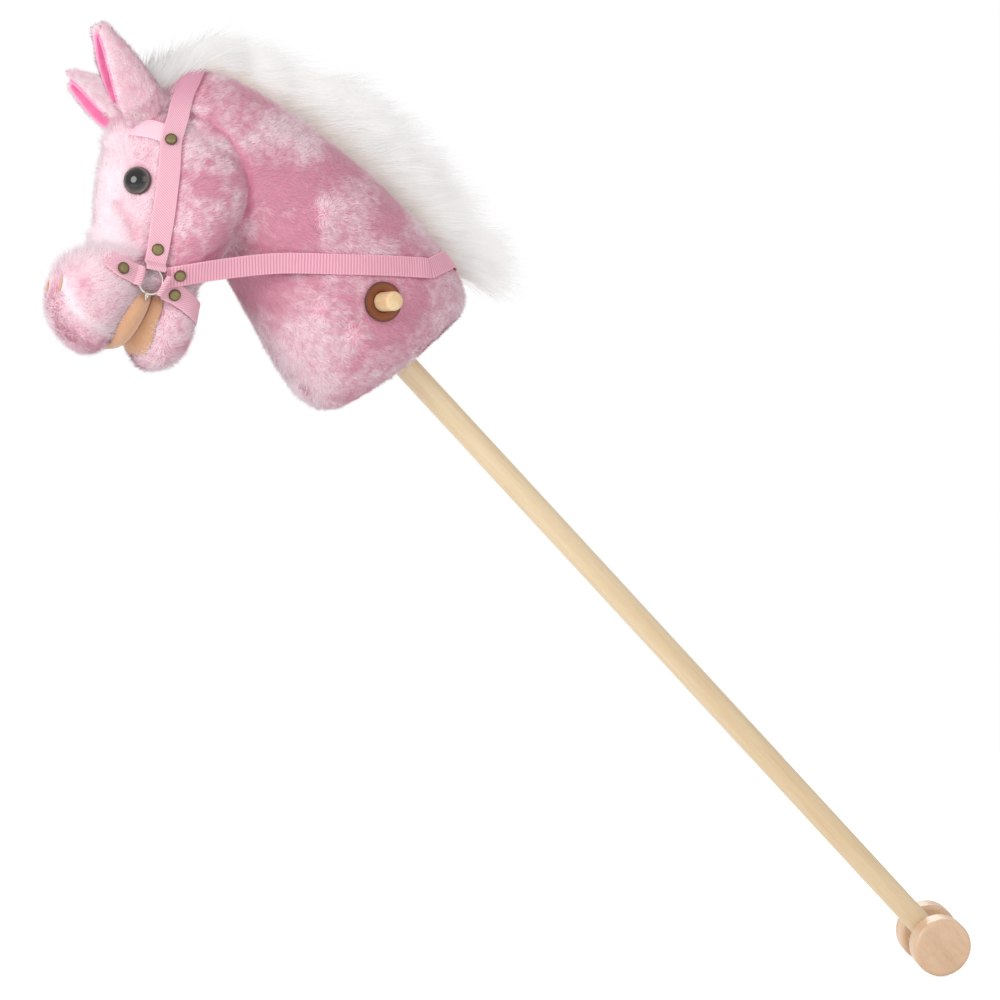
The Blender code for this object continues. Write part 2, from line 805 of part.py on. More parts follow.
def ear_mesh(name, inset, start, stop):
    # A leaf folded about its length, deep at the root, and opening towards the tip
    rows, columns = 10, 8
    bm = bmesh.new()
    made = []
    for i in range(rows + 1):
        share = start + (stop - start) * i / rows
        taper = (1 - share**2.2) ** 1.3
        depth = (EAR_DEPTH * taper + EAR_TIP) / (1 - cos(EAR_CURL))
        half_width = EAR_HALF_WIDTH * (0.65 + 0.7 * share) * taper + EAR_TIP / 2
        twist = Matrix.Rotation(EAR_TWIST * share, 3, "Z")
        row = []
        for j in range(columns + 1):
            turn = EAR_CURL * (2 * j / columns - 1)
            across = (half_width - inset) * sin(turn)
            along = depth * EAR_CENTRE - (depth - inset) * cos(turn)
            spot = twist @ Vector((along, across, 0))
            row.append(bm.verts.new(spot + Vector((0, 0, share * EAR_LENGTH))))
        made.append(row)
    for near, far in zip(made, made[1:]):
        for j in range(columns):
            bm.faces.new((near[j], far[j], far[j + 1], near[j + 1]))
    mesh = bpy.data.meshes.new(name)
    bm.to_mesh(mesh)
    bm.free()
    mesh.shade_smooth()
    return mesh


def make_ear(side, placing, ear_rooms, lining_rooms):
    # Its open side is its local +X, which faces the way it opens
    root, points, opens = (Vector(v) for v in placing)
    up = points.normalized()
    front = (opens - up * opens.dot(up)).normalized()
    turned = Matrix((front, up.cross(front), up)).transposed().to_4x4()
    turned.translation = root * MM - up * EAR_ROOT_DEPTH
    shapes = (
        ("ear_" + side, 0, (0, 1), EAR_THICKNESS, PLUSH, 0.95, ear_rooms),
        (
            "ear_lining_" + side,
            GAP + EAR_LINING_THICKNESS,
            EAR_LINING_SPAN,
            EAR_LINING_THICKNESS,
            SATIN,
            0.35,
            lining_rooms,
        ),
    )
    for name, inset, span, thickness, colour, roughness, rooms in shapes:
        piece = add_part(name, ear_mesh(name, inset, *span), colour, roughness)
        thick = piece.modifiers.new("thickness", "SOLIDIFY")
        thick.thickness = thickness
        thick.offset = 1
        piece.matrix_world = turned
        for room in rooms:
            cut(piece, room)


for side in SIDES:
    make_disc(side)
    make_eye(side)
    make_nostril(side)


def torus_mesh(name, radius, wire, segments, sides):
    # A ring about Z
    turns = [pi / 2 - 2 * pi * i / sides for i in range(sides + 1)]
    profile = [(radius + wire / 2 * cos(turn), wire / 2 * sin(turn)) for turn in turns]
    return turned_mesh(name, profile, segments)


def make_ring(side):
    # The ring lies flat against the highest plush under it, with a link through it
    turns = [2 * pi * i / 24 for i in range(24)]
    rim = [flat(RING_PLACE) + Vector((cos(t), 0, sin(t))) * RING_RADIUS for t in turns]
    heights = [outermost(skins, spot, Vector(SIDE)) for spot in rim]
    out = max(abs(hit[0].y) for hit in heights if hit) + RING_WIRE / 2 + 2 * GAP
    mesh = torus_mesh("bit_ring_" + side, RING_RADIUS, RING_WIRE, 26, 6)
    ring = add_part("bit_ring_" + side, mesh, STEEL, 0.3, 1.0)
    ring.matrix_world = on_side(side, Matrix.Translation(flat(RING_PLACE, -out)) @ ACROSS)
    away = Vector((cos(LINK_TURN), 0, sin(LINK_TURN)))
    hang = LINK_RADIUS - LINK_WIRE / 2 - RING_WIRE / 2 - GAP
    centre = flat(RING_PLACE, -out) + away * (RING_RADIUS + hang)
    mesh = torus_mesh("bit_link_" + side, LINK_RADIUS, LINK_WIRE, 16, 6)
    link = add_part("bit_link_" + side, mesh, STEEL, 0.2, 1.0)
    normal = Matrix.Rotation(LINK_TILT, 3, away) @ away.cross(Vector((0, 1, 0)))
    link.matrix_world = on_side(side, facing(centre, normal, Vector((0, 1, 0))))


def make_rivet(name, side, strap, place):
    skin = skin_of(strap)
    point, out = outermost([skin], flat(place), Vector(SIDE))
    radius = RIVET_DIAMETER / 2
    seat = seat_height([skin], point, out, radius) + RIVET_CLEAR
    dome = (radius**2 + RIVET_HEIGHT**2) / (2 * RIVET_HEIGHT)
    start = asin(radius / dome)
    turns = [start * i / 4 for i in range(5)]
    profile = [(dome * sin(turn), RIVET_HEIGHT - dome * (1 - cos(turn))) for turn in turns]
    profile.append((0, 0))
    name = name + "_" + side
    rivet = add_part(name, turned_mesh(name, profile, 14), BRASS, 0.35, 1.0)
    rivet.matrix_world = on_side(side, facing(point + out * seat, out))


headpiece = make_strap("headpiece", from_ring(HEADPIECE_ROUTE), skins)
browband = make_strap("browband", BROWBAND_ROUTE, skins)
noseband = make_strap("noseband", from_ring(NOSEBAND_ROUTE), skins)
rein_left = make_strap("rein_left", from_ring(REIN_ROUTE), skins, crosses=False)
chin_strap = make_strap("chin_strap", from_ring(CHIN_STRAP_ROUTE), skins)
rein_tab = make_strap("rein_tab", REIN_TAB_ROUTE, skins)
rein_right = make_strap("rein_right", None, skins, mirrored_from=rein_left)
straps = {
    "headpiece": headpiece,
    "noseband": noseband,
    "rein": rein_left,
    "chin_strap": chin_strap,
}
for side in SIDES:
    make_ring(side)
    for name, (strap, place) in RIVETS.items():
        make_rivet(name, side, straps[strap], place)
headpiece_room = strap_room(headpiece)
rein_rooms = [strap_room(rein) for rein in (rein_left, rein_right)]
tab_room = grown(rein_tab, GAP)
chin_strap_room = grown(chin_strap, GAP)
noseband_room = grown(noseband, GAP)
for soft in (chin, lower):
    cut(soft, chin_strap_room)
for soft in (head, muzzle):
    cut(soft, noseband_room)
for strap in (browband, noseband):
    cut(strap, headpiece_room)
lining_rooms = (head_room, neck_room)
ear_rooms = (head_room, neck_room, strap_room(browband), headpiece_room)
make_ear("left", EAR_LEFT, ear_rooms, lining_rooms)
make_ear("right", EAR_RIGHT, ear_rooms, lining_rooms)
for room in rein_rooms:
    cut(chin_strap, room)
    cut(rein_tab, room)
for room in (grown(headpiece, GAP), tab_room):
    cut(mane, room)

lean = bpy.data.objects.new("lean", None)
partsCollection.objects.link(lean)
for thing in [*partsCollection.objects, *guidesCollection.objects]:
    if thing is not lean and thing.parent is None:
        thing.parent = lean
lean.rotation_euler = (0, -STICK_LEAN, 0)
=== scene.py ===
import math

import bmesh
import bpy
import numpy as np
from mathutils import Matrix, Vector, noise
from mathutils.bvhtree import BVHTree


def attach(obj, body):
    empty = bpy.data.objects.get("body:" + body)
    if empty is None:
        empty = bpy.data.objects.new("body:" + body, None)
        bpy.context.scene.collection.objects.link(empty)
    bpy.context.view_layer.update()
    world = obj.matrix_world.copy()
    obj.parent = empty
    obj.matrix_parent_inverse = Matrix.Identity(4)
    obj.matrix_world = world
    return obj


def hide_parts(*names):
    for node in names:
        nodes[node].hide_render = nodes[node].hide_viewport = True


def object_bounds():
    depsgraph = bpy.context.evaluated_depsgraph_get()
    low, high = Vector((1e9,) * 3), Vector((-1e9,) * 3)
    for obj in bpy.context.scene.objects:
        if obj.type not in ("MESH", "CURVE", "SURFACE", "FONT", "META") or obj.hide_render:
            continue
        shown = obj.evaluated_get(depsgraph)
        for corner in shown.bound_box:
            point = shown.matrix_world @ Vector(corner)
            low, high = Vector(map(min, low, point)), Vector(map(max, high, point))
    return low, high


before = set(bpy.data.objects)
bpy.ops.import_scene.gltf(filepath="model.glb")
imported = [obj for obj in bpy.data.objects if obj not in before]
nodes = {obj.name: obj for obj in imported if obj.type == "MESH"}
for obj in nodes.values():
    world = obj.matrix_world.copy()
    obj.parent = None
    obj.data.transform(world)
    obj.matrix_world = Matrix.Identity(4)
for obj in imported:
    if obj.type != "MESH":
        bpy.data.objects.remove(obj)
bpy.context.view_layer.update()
scene = bpy.context.scene
mm = 0.001
sides = ("left", "right")
# without a seed its vectors change from run to run
noise.seed_set(3)
# everything is worked out upright about the stick, then leaned over
leaned = Matrix.Rotation(math.radians(-46.3), 4, "Y")
upright = leaned.inverted()
print("frame loaded")


def put(name, data):
    # a new object in the scene
    thing = bpy.data.objects.new(name, data)
    scene.collection.objects.link(thing)
    return thing


def pointed(thing, spot, way):
    # a camera or a lamp at a spot, looking along way
    thing.location = spot
    thing.rotation_euler = Vector(way).to_track_quat("-Z", "Y").to_euler()


cameraPlace = {"spot": (-3.1118, -6.2704, -0.2440), "way": (0.45839, 0.88863, 0.01468),
               "lens": 349.5, "sensor": 36, "farthest": 50}


def makeCamera(place=cameraPlace):
    lens = bpy.data.cameras.new("camera")
    lens.lens = place["lens"]
    lens.sensor_width = place["sensor"]
    lens.clip_end = place["farthest"]
    scene.camera = put("camera", lens)
    pointed(scene.camera, place["spot"], place["way"])


makeCamera()

# node trees, for materials and for geometry

class Value:
    # a socket that can be used in sums
    def __init__(self, tree, socket):
        self.tree = tree
        self.socket = socket

    def maths(self, operation, *others):
        return self.tree.add("ShaderNodeMath", {"operation": operation}, dict(enumerate((self, *others))))

    def __add__(self, other):
        return self.maths("ADD", other)

    def __sub__(self, other):
        return self.maths("SUBTRACT", other)

    def __rsub__(self, other):
        return self * -1 + other

    def __mul__(self, other):
        return self.maths("MULTIPLY", other)

    __radd__ = __add__
    __rmul__ = __mul__


class Tree:
    # nodes of a material, of the world or of a geometry group
    def __init__(self, tree):
        self.tree = tree

    def add(self, kind, settings=None, values=None, output=0):
        # settings first, then what its sockets hold or are linked to
        node = self.tree.nodes.new(kind)
        for name, setting in (settings or {}).items():
            if name == "stops":
                ramp = node.color_ramp
                while len(ramp.elements) > 1:
                    ramp.elements.remove(ramp.elements[-1])
                for i, (spot, colour) in enumerate(setting):
                    stop = ramp.elements[0] if i == 0 else ramp.elements.new(spot)
                    stop.position = spot
                    stop.color = (*colour, 1) if len(colour) == 3 else colour
            else:
                setattr(node, name, setting)
        for name, value in (values or {}).items():
            self.set(node.inputs[name], value)
        return Value(self, node.outputs[output])

    def set(self, socket, value):
        if isinstance(value, Value):
            self.tree.links.new(value.socket, socket)
        elif isinstance(value, tuple) and len(value) == 3 and socket.type == "RGBA":
            socket.default_value = (*value, 1)
        else:
            socket.default_value = value

    def mix(self, share, first, second):
        # between two colours
        node = self.tree.nodes.new("ShaderNodeMix")
        node.data_type = "RGBA"
        for i, value in ((0, share), (6, first), (7, second)):
            self.set(node.inputs[i], value)
        return Value(self, node.outputs[2])


class Finish(Tree):
    # one material
    def __init__(self, name, **surface):
        self.material = bpy.data.materials.new(name)
        self.material.use_nodes = True
        super().__init__(self.material.node_tree)
        self.shader = self.tree.nodes["Principled BSDF"]
        for socket, value in surface.items():
            self.feed(socket, value)

    def feed(self, socket, value):
        self.set(self.shader.inputs[socket.replace("_", " ")], value)

    def place(self, scale=(1, 1, 1), turn=(0, 0, 0), map=None):
        # where a pattern is, in metres of the object or along its own map
        if map:
            spot = self.add("ShaderNodeUVMap", {"uv_map": map})
        else:
            spot = self.add("ShaderNodeTexCoord", output=3)
        return self.add("ShaderNodeMapping", {"vector_type": "TEXTURE"}, {
            "Vector": spot, "Scale": scale, "Rotation": turn})

    def kept(self, name):
        # a number that the mesh carries at each point
        return self.add("ShaderNodeAttribute", {"attribute_name": name}, output=2)

    def step(self, value, low, high):
        # 0 below low, 1 above high
        return self.ramp(value, (low, (0, 0, 0)), (high, (1, 1, 1)))

    def noise(self, place, scale, detail=3, roughness=0.5):
        return self.add("ShaderNodeTexNoise", None, {
            "Vector": place, "Scale": scale, "Detail": detail, "Roughness": roughness})

    def ramp(self, value, *stops):
        return self.add("ShaderNodeValToRGB", {"stops": stops}, {0: value})

    def bump(self, height, distance, strength=1.0):
        self.feed("Normal", self.add("ShaderNodeBump", None, {
            "Height": height, "Distance": distance, "Strength": strength}))


# meshes

def meshOf(bm, name):
    mesh = bpy.data.meshes.new(name)
    bm.to_mesh(mesh)
    bm.free()
    return mesh


def editable(mesh):
    bm = bmesh.new()
    bm.from_mesh(mesh)
    return bm


def swell(bm, move):
    # every point goes out along its normal
    bm.normal_update()
    for vertex in bm.verts:
        vertex.co += vertex.normal * move


def carry(mesh, label, values):
    # a number or a vector kept at each point
    values = np.asarray(values, np.float32)
    kind, key = ("FLOAT", "value") if values.ndim == 1 else ("FLOAT_VECTOR", "vector")
    mesh.attributes.new(label, kind, "POINT").data.foreach_set(key, values.ravel())


def nodeMesh(*names, grow=0.0):
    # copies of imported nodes, upright, with their corners merged
    whole = bmesh.new()
    for name in names:
        part = editable(nodes[name].data)
        bmesh.ops.remove_doubles(part, verts=part.verts, dist=1e-6)
        part.transform(upright)
        swell(part, grow)
        mesh = meshOf(part, name)
        whole.from_mesh(mesh)
        bpy.data.meshes.remove(mesh)
    return meshOf(whole, "copy")


def evaluated(thing):
    # the plain mesh of an object with modifiers, which then goes
    bpy.context.view_layer.update()
    made = bpy.data.meshes.new_from_object(thing.evaluated_get(bpy.context.evaluated_depsgraph_get()))
    bpy.data.objects.remove(thing)
    return made


def worked(mesh, *modifiers):
    # the mesh after these modifiers, each a type and its settings
    thing = put("working", mesh)
    for kind, settings in modifiers:
        modifier = thing.modifiers.new(kind.lower(), kind)
        for name, value in settings.items():
            setattr(modifier, name, value)
    made = evaluated(thing)
    bpy.data.meshes.remove(mesh)
    return made


def rounded(mesh):
    made = worked(mesh, ("SUBSURF", {"levels": 1, "render_levels": 1}))
    made.shade_smooth()
    return made


def remeshed(mesh, voxel, rounds, inset=0.0):
    # one even skin round the mesh, smoothed, and drawn in
    bm = editable(worked(mesh, ("REMESH", {"mode": "VOXEL", "voxel_size": voxel}),
                         ("SMOOTH", {"iterations": rounds, "factor": 0.5})))
    swell(bm, -inset)
    made = meshOf(bm, "skin")
    made.shade_smooth()
    return made


def skinOf(mesh):
    return BVHTree.FromPolygons([v.co.copy() for v in mesh.vertices], [p.vertices[:] for p in mesh.polygons])


def turnedMesh(profile, steps):
    # a profile of (radius, height) from the top down the outside, turned about Z
    bm = bmesh.new()
    rings = []
    for radius, height in profile:
        turns = [2 * math.pi * i / steps for i in range(steps if radius > 1e-7 else 1)]
        rings.append([bm.verts.new((radius * math.cos(a), radius * math.sin(a), height)) for a in turns])
    for above, below in zip(rings, rings[1:]):
        for i in range(steps):
            corners = [ring[j % len(ring)] for ring, j in ((above, i), (below, i), (below, i + 1), (above, i + 1))]
            bm.faces.new(list(dict.fromkeys(corners)))
    bmesh.ops.remove_doubles(bm, verts=bm.verts, dist=1e-6)
    bmesh.ops.recalc_face_normals(bm, faces=bm.faces)
    mesh = meshOf(bm, "turned")
    mesh.shade_smooth()
    # how far out each point is, for its colour
    reach = max(radius for radius, _ in profile)
    carry(mesh, "rim", [v.co.xy.length / reach for v in mesh.vertices])
    return mesh


def gridMesh(rows, out):
    # a sheet through rows of places, with its face towards out
    bm = bmesh.new()
    made = [[bm.verts.new(spot) for spot in row] for row in rows]
    for first, second in zip(made, made[1:]):
        for i in range(len(first) - 1):
            bm.faces.new((first[i], first[i + 1], second[i + 1], second[i]))
    bm.normal_update()
    if sum(face.normal.dot(out) for face in list(bm.faces)[:6]) < 0:
        bmesh.ops.reverse_faces(bm, faces=bm.faces)
    return meshOf(bm, "sheet")


def turnedPlace(name):
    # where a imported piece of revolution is: its middle, its axis away from the middle plane,
    # its front and back along that, and its radius
    mesh = nodeMesh(name)
    points = np.array([v.co for v in mesh.vertices])
    bpy.data.meshes.remove(mesh)
    middle = points.mean(axis=0)
    spread, axes = np.linalg.eigh(np.cov((points - middle).T))
    gaps = [abs(spread[i] - spread[i - 1]) + abs(spread[i] - spread[i - 2]) for i in range(3)]
    axis = axes[:, int(np.argmax(gaps))]
    axis = axis * (-1 if axis[1] * middle[1] < 0 else 1)
    along = (points - middle) @ axis
    radius = np.linalg.norm(points - middle - along[:, None] * axis, axis=1).max()
    return Vector(middle), Vector(axis), float(along.max()), float(along.min()), float(radius)


def unit(value):
    return max(0.0, min(1.0, value))


def mirrored(spot):
    return Vector((spot.x, -spot.y, spot.z))


def nearSide(spot):
    # the same place on the horse's left
    return Vector((spot.x, -abs(spot.y), spot.z))


def finished(name, mesh, finish, replaced=(), body="horse"):
    # a piece of the object, leaned over and riding on its body
    mesh.transform(leaned)
    strands = "shade" in mesh.attributes
    if strands:
        # fur is lit as the surface that it covers
        ways = np.empty(len(mesh.vertices) * 3, np.float32)
        mesh.attributes["shade"].data.foreach_get("vector", ways)
        ways = ways.reshape(-1, 3) @ np.array(leaned.to_3x3()).T
        ways /= np.maximum(np.linalg.norm(ways, axis=1, keepdims=True), 1e-6)
        mesh.shade_smooth()
        mesh.normals_split_custom_set_from_vertices(ways)
    for label in ("shade", "comb", "face", "out", "pile", "bare"):
        if label in mesh.attributes:
            mesh.attributes.remove(mesh.attributes[label])
    mesh.name = name
    mesh.materials.clear()
    mesh.materials.append(finish.material)
    piece = put(name, mesh)
    # strands are too fine to shade what they cover
    piece.visible_shadow = not strands
    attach(piece, body)
    if replaced:
        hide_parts(*replaced)
    return piece


# finishes

plushColour = {"frost": (1.0, 0.95, 0.97), "light": (0.99, 0.80, 0.86),
               "mid": (0.71, 0.335, 0.435), "deep": (0.64, 0.21, 0.32)}
earColour = {"frost": (1.0, 0.96, 0.97), "light": (0.97, 0.83, 0.87),
             "mid": (0.85, 0.53, 0.62), "deep": (0.74, 0.36, 0.46)}


def plushFinish(name, colour, tips):
    # pink pile, deeper where it lies smooth and paler where it is ruffled, its paleness and depth partly painted light
    # and shade, with frosted tips
    finish = Finish(name, Roughness=0.9, Sheen_Weight=0.45, Sheen_Roughness=0.45, Sheen_Tint=(1.0, 0.84, 0.90),
                    Specular_IOR_Level=0.15)
    spot = finish.place()
    clumps = finish.step(finish.noise(spot, 210, 4, 0.65), 0.38, 0.62)
    ruffle = finish.kept("ruffle")
    pale = finish.step(ruffle + (clumps - 0.5) * (ruffle * 0.45 + 0.12), 0.18, 0.85)
    shade = finish.mix(pale, colour["mid"], colour["light"])
    # painted light makes the pile paler towards white in patches
    shade = finish.mix(finish.kept("paintedLight") * 0.75, shade, colour["frost"])
    if tips:
        height = finish.kept("height")
        frost = height * finish.kept("tint") * (ruffle + 0.1) * (clumps * 0.7 + 0.3)
        # painted shade darkens the strands towards their roots
        shadedRoot = finish.mix(0.25, shade, colour["deep"])
        shade = finish.mix(height, shadedRoot, finish.mix(frost, shade, colour["frost"]))
    # painted shade deepens the colour in the seams' creases
    shade = finish.mix(finish.kept("crease") * 0.7, shade, colour["deep"])
    finish.feed("Base_Color", shade)
    return finish


def woodFinish(name, light, dark, along, roughness, stretch=24):
    # soft grain drawn out along the piece, with a few finer lines
    finish = Finish(name, Roughness=roughness, Coat_Weight=0.1, Coat_Roughness=0.35)
    turn = Vector(along).to_track_quat("Z", "Y").to_euler()
    spot = finish.place(scale=(1, 1, stretch), turn=turn)
    wide = finish.step(finish.noise(spot, 90, 2), 0.35, 0.68)
    lines = finish.step(finish.noise(spot, 420, 3, 0.6), 0.46, 0.72)
    fine = finish.noise(spot, 1500, 2, 0.6)
    finish.feed("Base_Color", finish.mix(wide * 0.5 + lines * 0.35 + fine * 0.15, light, dark))
    finish.bump(fine, 0.0001, 0.25)
    return finish


def mottled(name, scale, dark, light, **surface):
    # one colour with a soft change over the surface
    finish = Finish(name, **surface)
    finish.feed("Base_Color", finish.mix(finish.noise(finish.place(), scale), dark, light))
    return finish


stickWay = leaned @ Vector((0, 0, -1))
pine = woodFinish("pine", (0.75, 0.60, 0.40), (0.61, 0.43, 0.235), stickWay, 0.5)
dowel = woodFinish("dowel", (0.80, 0.60, 0.36), (0.60, 0.38, 0.18), (0, 1, 0), 0.5, 8)
beech = woodFinish("beech", (0.71, 0.50, 0.335), (0.56, 0.35, 0.22), (0.62, -0.33, -0.7), 0.42, 14)
bodyPlush = plushFinish("pinkPlush", plushColour, True)
# the backings under the pile are a step deeper than it, as painted shade deep in the pile
plushBacking = plushFinish(
    "plushBacking", {**plushColour, "mid": plushColour["deep"], "light": plushColour["mid"]}, False)
earPlush = plushFinish("paleEarPlush", earColour, True)
earBacking = plushFinish("earBacking", {**earColour, "light": earColour["mid"]}, False)

for name, finish in {"stick": pine, "axle": pine, "handle_left": dowel, "handle_right": dowel,
                     "wheel_left": beech, "wheel_right": beech}.items():
    nodes[name].material_slots[0].material = finish.material
print("wood finished")

# the stuffed head and neck

stuffing = {"plump": 0.4 * mm, "voxel": 2.4 * mm, "rounds": 5, "drawnIn": 1.0 * mm, "seamFromMiddle": 9 * mm}
stuffedNodes = ("neck", "head", "muzzle", "chin")
stuffedMesh = remeshed(nodeMesh(*stuffedNodes, grow=stuffing["plump"]), stuffing["voxel"], stuffing["rounds"],
                       stuffing["drawnIn"])

# sewn seams, as places in the middle plane in millimetres, with how deep each is drawn in and how dark painted shade
# makes its crease; the last is a ridge from the nostril to the lip, which painted light makes pale
seams = (
    {"depth": 2.2 * mm, "width": 2.6 * mm, "dark": 1.0,
     "line": ((-4, 196), (3, 181), (4, 160), (-2, 141), (-10, 127), (-23, 116), (-38, 112), (-55, 111), (-72, 117))},
    {"depth": 1.3 * mm, "width": 3.0 * mm, "dark": 0.5,
     "line": ((-84, 186), (-89, 174), (-96, 162))},
    {"depth": -0.9 * mm, "width": 3.0 * mm, "dark": 0.0,
     "line": ((-149, 179), (-156, 172), (-162, 163), (-164, 152), (-163, 143), (-159, 134))},
)


def alongSeam(seam, spots):
    # 1 on the seam's line, fading to 0 beside it
    away = np.full(len(spots), 1.0)
    line = np.array(seam["line"]) * mm
    for start, end in zip(line, line[1:]):
        run = end - start
        share = np.clip(((spots[:, [0, 2]] - start) @ run) / (run @ run), 0, 1)
        away = np.minimum(away, np.linalg.norm(spots[:, [0, 2]] - start - share[:, None] * run, axis=1))
    return np.exp(-(away / seam["width"]) ** 2) * (np.abs(spots[:, 1]) > stuffing["seamFromMiddle"])


def drawSeams(mesh):
    # the skin goes in along each seam, and keeps how near a seam it is
    spots = np.array([v.co for v in mesh.vertices])
    outward = np.array([v.normal for v in mesh.vertices])
    crease = np.zeros(len(spots))
    for seam in seams:
        pull = alongSeam(seam, spots)
        spots -= outward * (pull * seam["depth"])[:, None]
        crease = np.maximum(crease, pull * seam["dark"])
    mesh.vertices.foreach_set("co", spots.ravel())
    carry(mesh, "crease", crease)
    mesh.update()


drawSeams(stuffedMesh)
plushSkin = skinOf(stuffedMesh)
packedSkin = skinOf(nodeMesh(*stuffedNodes))
print("head and neck stuffed,", len(stuffedMesh.polygons), "faces")

# straps

strapSize = {"width": 15 * mm, "thickness": 1.2 * mm, "lift": 0.8 * mm, "step": 3.5 * mm, "columns": 6,
             "rise": 6 * mm, "fall": 2.5 * mm, "leastFromMiddle": 28 * mm, "samples": 12, "reach": 0.2,
             "turns": 6, "pulls": 400, "rowPulls": 60, "acrossPulls": 12, "eased": 40,
             "endOver": 1.3 * mm, "endFade": 8 * mm, "sunk": 2.2 * mm, "sinkFade": 14 * mm,
             "layerEnds": 34 * mm, "layerFade": 14 * mm}
# how a strap starts at the ring and folds round it: fine steps, and an arch over the ring's wire
foldSize = {"reinSpan": 11.2, "span": 7.6, "steps": 9, "step": 0.9 * mm, "wire": 9.5 * mm, "arch": 2.6 * mm,
            "seat": 0.2, "widest": 13 * mm, "ends": 16 * mm, "fade": 6 * mm}
# how far each lies over the ones beneath
strapLayer = {"headpiece": 0.5 * mm, "noseband": 0.2 * mm, "rein": 1.3 * mm}
ringPlace = (-111, 134.5)
aside, over, under, behind = (0, -1, 0), (0, 0, 1), (0, 0, -1), (1, 0, 0)
# each step is a place in the middle plane in millimetres, and the way out to the plush
strapRoutes = {
    "headpiece": (((-92, 147), aside), ((-60, 171), aside), ((-28, 189), (0, -1, 0.1)), ((-12, 191), (0.1, -1, 0.25)),
                  ((5, 186), (0.35, -1, 0.9)), ((16, 175), (0.5, -0.3, 1)), ((19, 171), (0.55, 0, 1))),
    "browband": (((-26, 183), (0, -1, 0.42)), ((-30, 185), (0, -1, 0.9)), ((-34, 185), (0, -0.5, 1)),
                 ((-38, 185), over)),
    "noseband": (((-120, 155), (0, -1, 0.05)), ((-121, 147), (0, -0.8, 0.9)), ((-121, 145), over)),
    "chin_strap": (((-102, 111), aside), ((-99, 106), (0, -1, -0.5)), ((-96, 110), (0, -0.6, -1)),
                   ((-95, 110), under)),
    "rein": (((-92, 121), aside), ((-78, 111), aside), ((-37, 78), aside), ((-2, 40), aside), ((30, 6), aside),
             ((46, -12), aside)),
    "rein_tab": (((40, -5), aside), ((47, -13.3), aside), ((54, -22), (0.25, -1, 0)), ((56, -29), (0.8, -1, 0)),
                 ((54, -35), (1, -0.4, 0)), ((50, -37), behind)),
}


def flat(place):
    return Vector((place[0] * mm, 0, place[1] * mm))


def outermost(base, out, reach=strapSize["reach"]):
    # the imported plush's outer surface along a way
    out = out.normalized()
    spot = packedSkin.ray_cast(base + out * reach, -out, reach)[0]
    return (spot, out) if spot else None


def routeLine(route, least):
    # places on the plush, and ways out of it, with gaps in them bridged
    found = []
    samples = strapSize["samples"]
    for (place, out), (nextPlace, nextOut) in zip(route, route[1:]):
        for i in range(samples):
            base = flat(place).lerp(flat(nextPlace), i / samples)
            hit = outermost(base, Vector(out).lerp(Vector(nextOut), i / samples))
            found.append(hit if hit and (hit[0] - base).length > least else None)
    found.append(outermost(flat(route[-1][0]), Vector(route[-1][1])))
    known = [i for i, hit in enumerate(found) if hit]
    for i, hit in enumerate(found):
        if hit is None:
            before, after = max(k for k in known if k < i), min(k for k in known if k > i)
            share = (i - before) / (after - before)
            found[i] = tuple(found[before][n].lerp(found[after][n], share) for n in (0, 1))
    return [(spot.copy(), way.normalized()) for spot, way in found]


def evenly(line, step, fine=()):
    # the same line at even steps, after any finer ones at its start
    spots = np.array([[*spot, *way] for spot, way in line])
    run = np.concatenate(([0], np.cumsum(np.linalg.norm(np.diff(spots[:, :3], axis=0), axis=1))))
    begin = fine[-1] if len(fine) else 0
    at = np.linspace(begin, run[-1], max(2, round((run[-1] - begin) / step)) + 1)
    at = np.concatenate((fine[:-1], at))
    spots = np.stack([np.interp(at, run, column) for column in spots.T], axis=1)
    return [Vector(spot[:3]) for spot in spots], [Vector(spot[3:]).normalized() for spot in spots]


def pullTaut(points, ways, rounds):
    # webbing bridges hollows and never dips into them
    for _ in range(rounds):
        for i in range(1, len(points) - 1):
            dip = ((points[i - 1] + points[i + 1]) / 2 - points[i]).dot(ways[i])
            if dip > 0:
                points[i] = points[i] + ways[i] * dip


ringAt, ringAxis, _, ringBack, _ = turnedPlace("bit_ring_left")


def overRing(spot, size=foldSize):
    # how far a strap goes up where it folds round the ring
    out = (spot - ringAt).dot(ringAxis)
    away = (spot - ringAt - ringAxis * out).length
    if away >= size["widest"]:
        return 0.0
    arch = max(0.0, 1 - ((away - size["wire"]) / size["arch"]) ** 2) ** 0.5 * size["arch"]
    return max(0.0, arch + ringBack * size["seat"] - out) * unit((size["ends"] - away) / size["fade"])


def strapRows(points, ways, size=strapSize):
    # lines side by side along a strap, each laid on the plush and pulled taut
    columns = size["columns"]
    rows = [[] for _ in range(columns + 1)]
    for i, (point, way) in enumerate(zip(points, ways)):
        along = (points[min(i + 1, len(points) - 1)] - points[max(i - 1, 0)]).normalized()
        beside = along.cross(way).normalized()
        for k, row in enumerate(rows):
            spot = point + beside * size["width"] * (k / columns - 0.5)
            hit = packedSkin.ray_cast(spot + way * size["width"] * 2, -way, size["width"] * 4)[0]
            rise = min(max((hit - spot).dot(way) if hit else -1, -size["fall"]), size["rise"])
            row.append(spot + way * (rise + size["lift"]))
    for row in rows:
        pullTaut(row, ways, size["rowPulls"])
    for i, way in enumerate(ways):
        # across its width it is stiff
        across = [row[i] for row in rows]
        pullTaut(across, [way] * len(across), size["acrossPulls"])
        for row, spot in zip(rows, across):
            row[i] = spot
    return rows


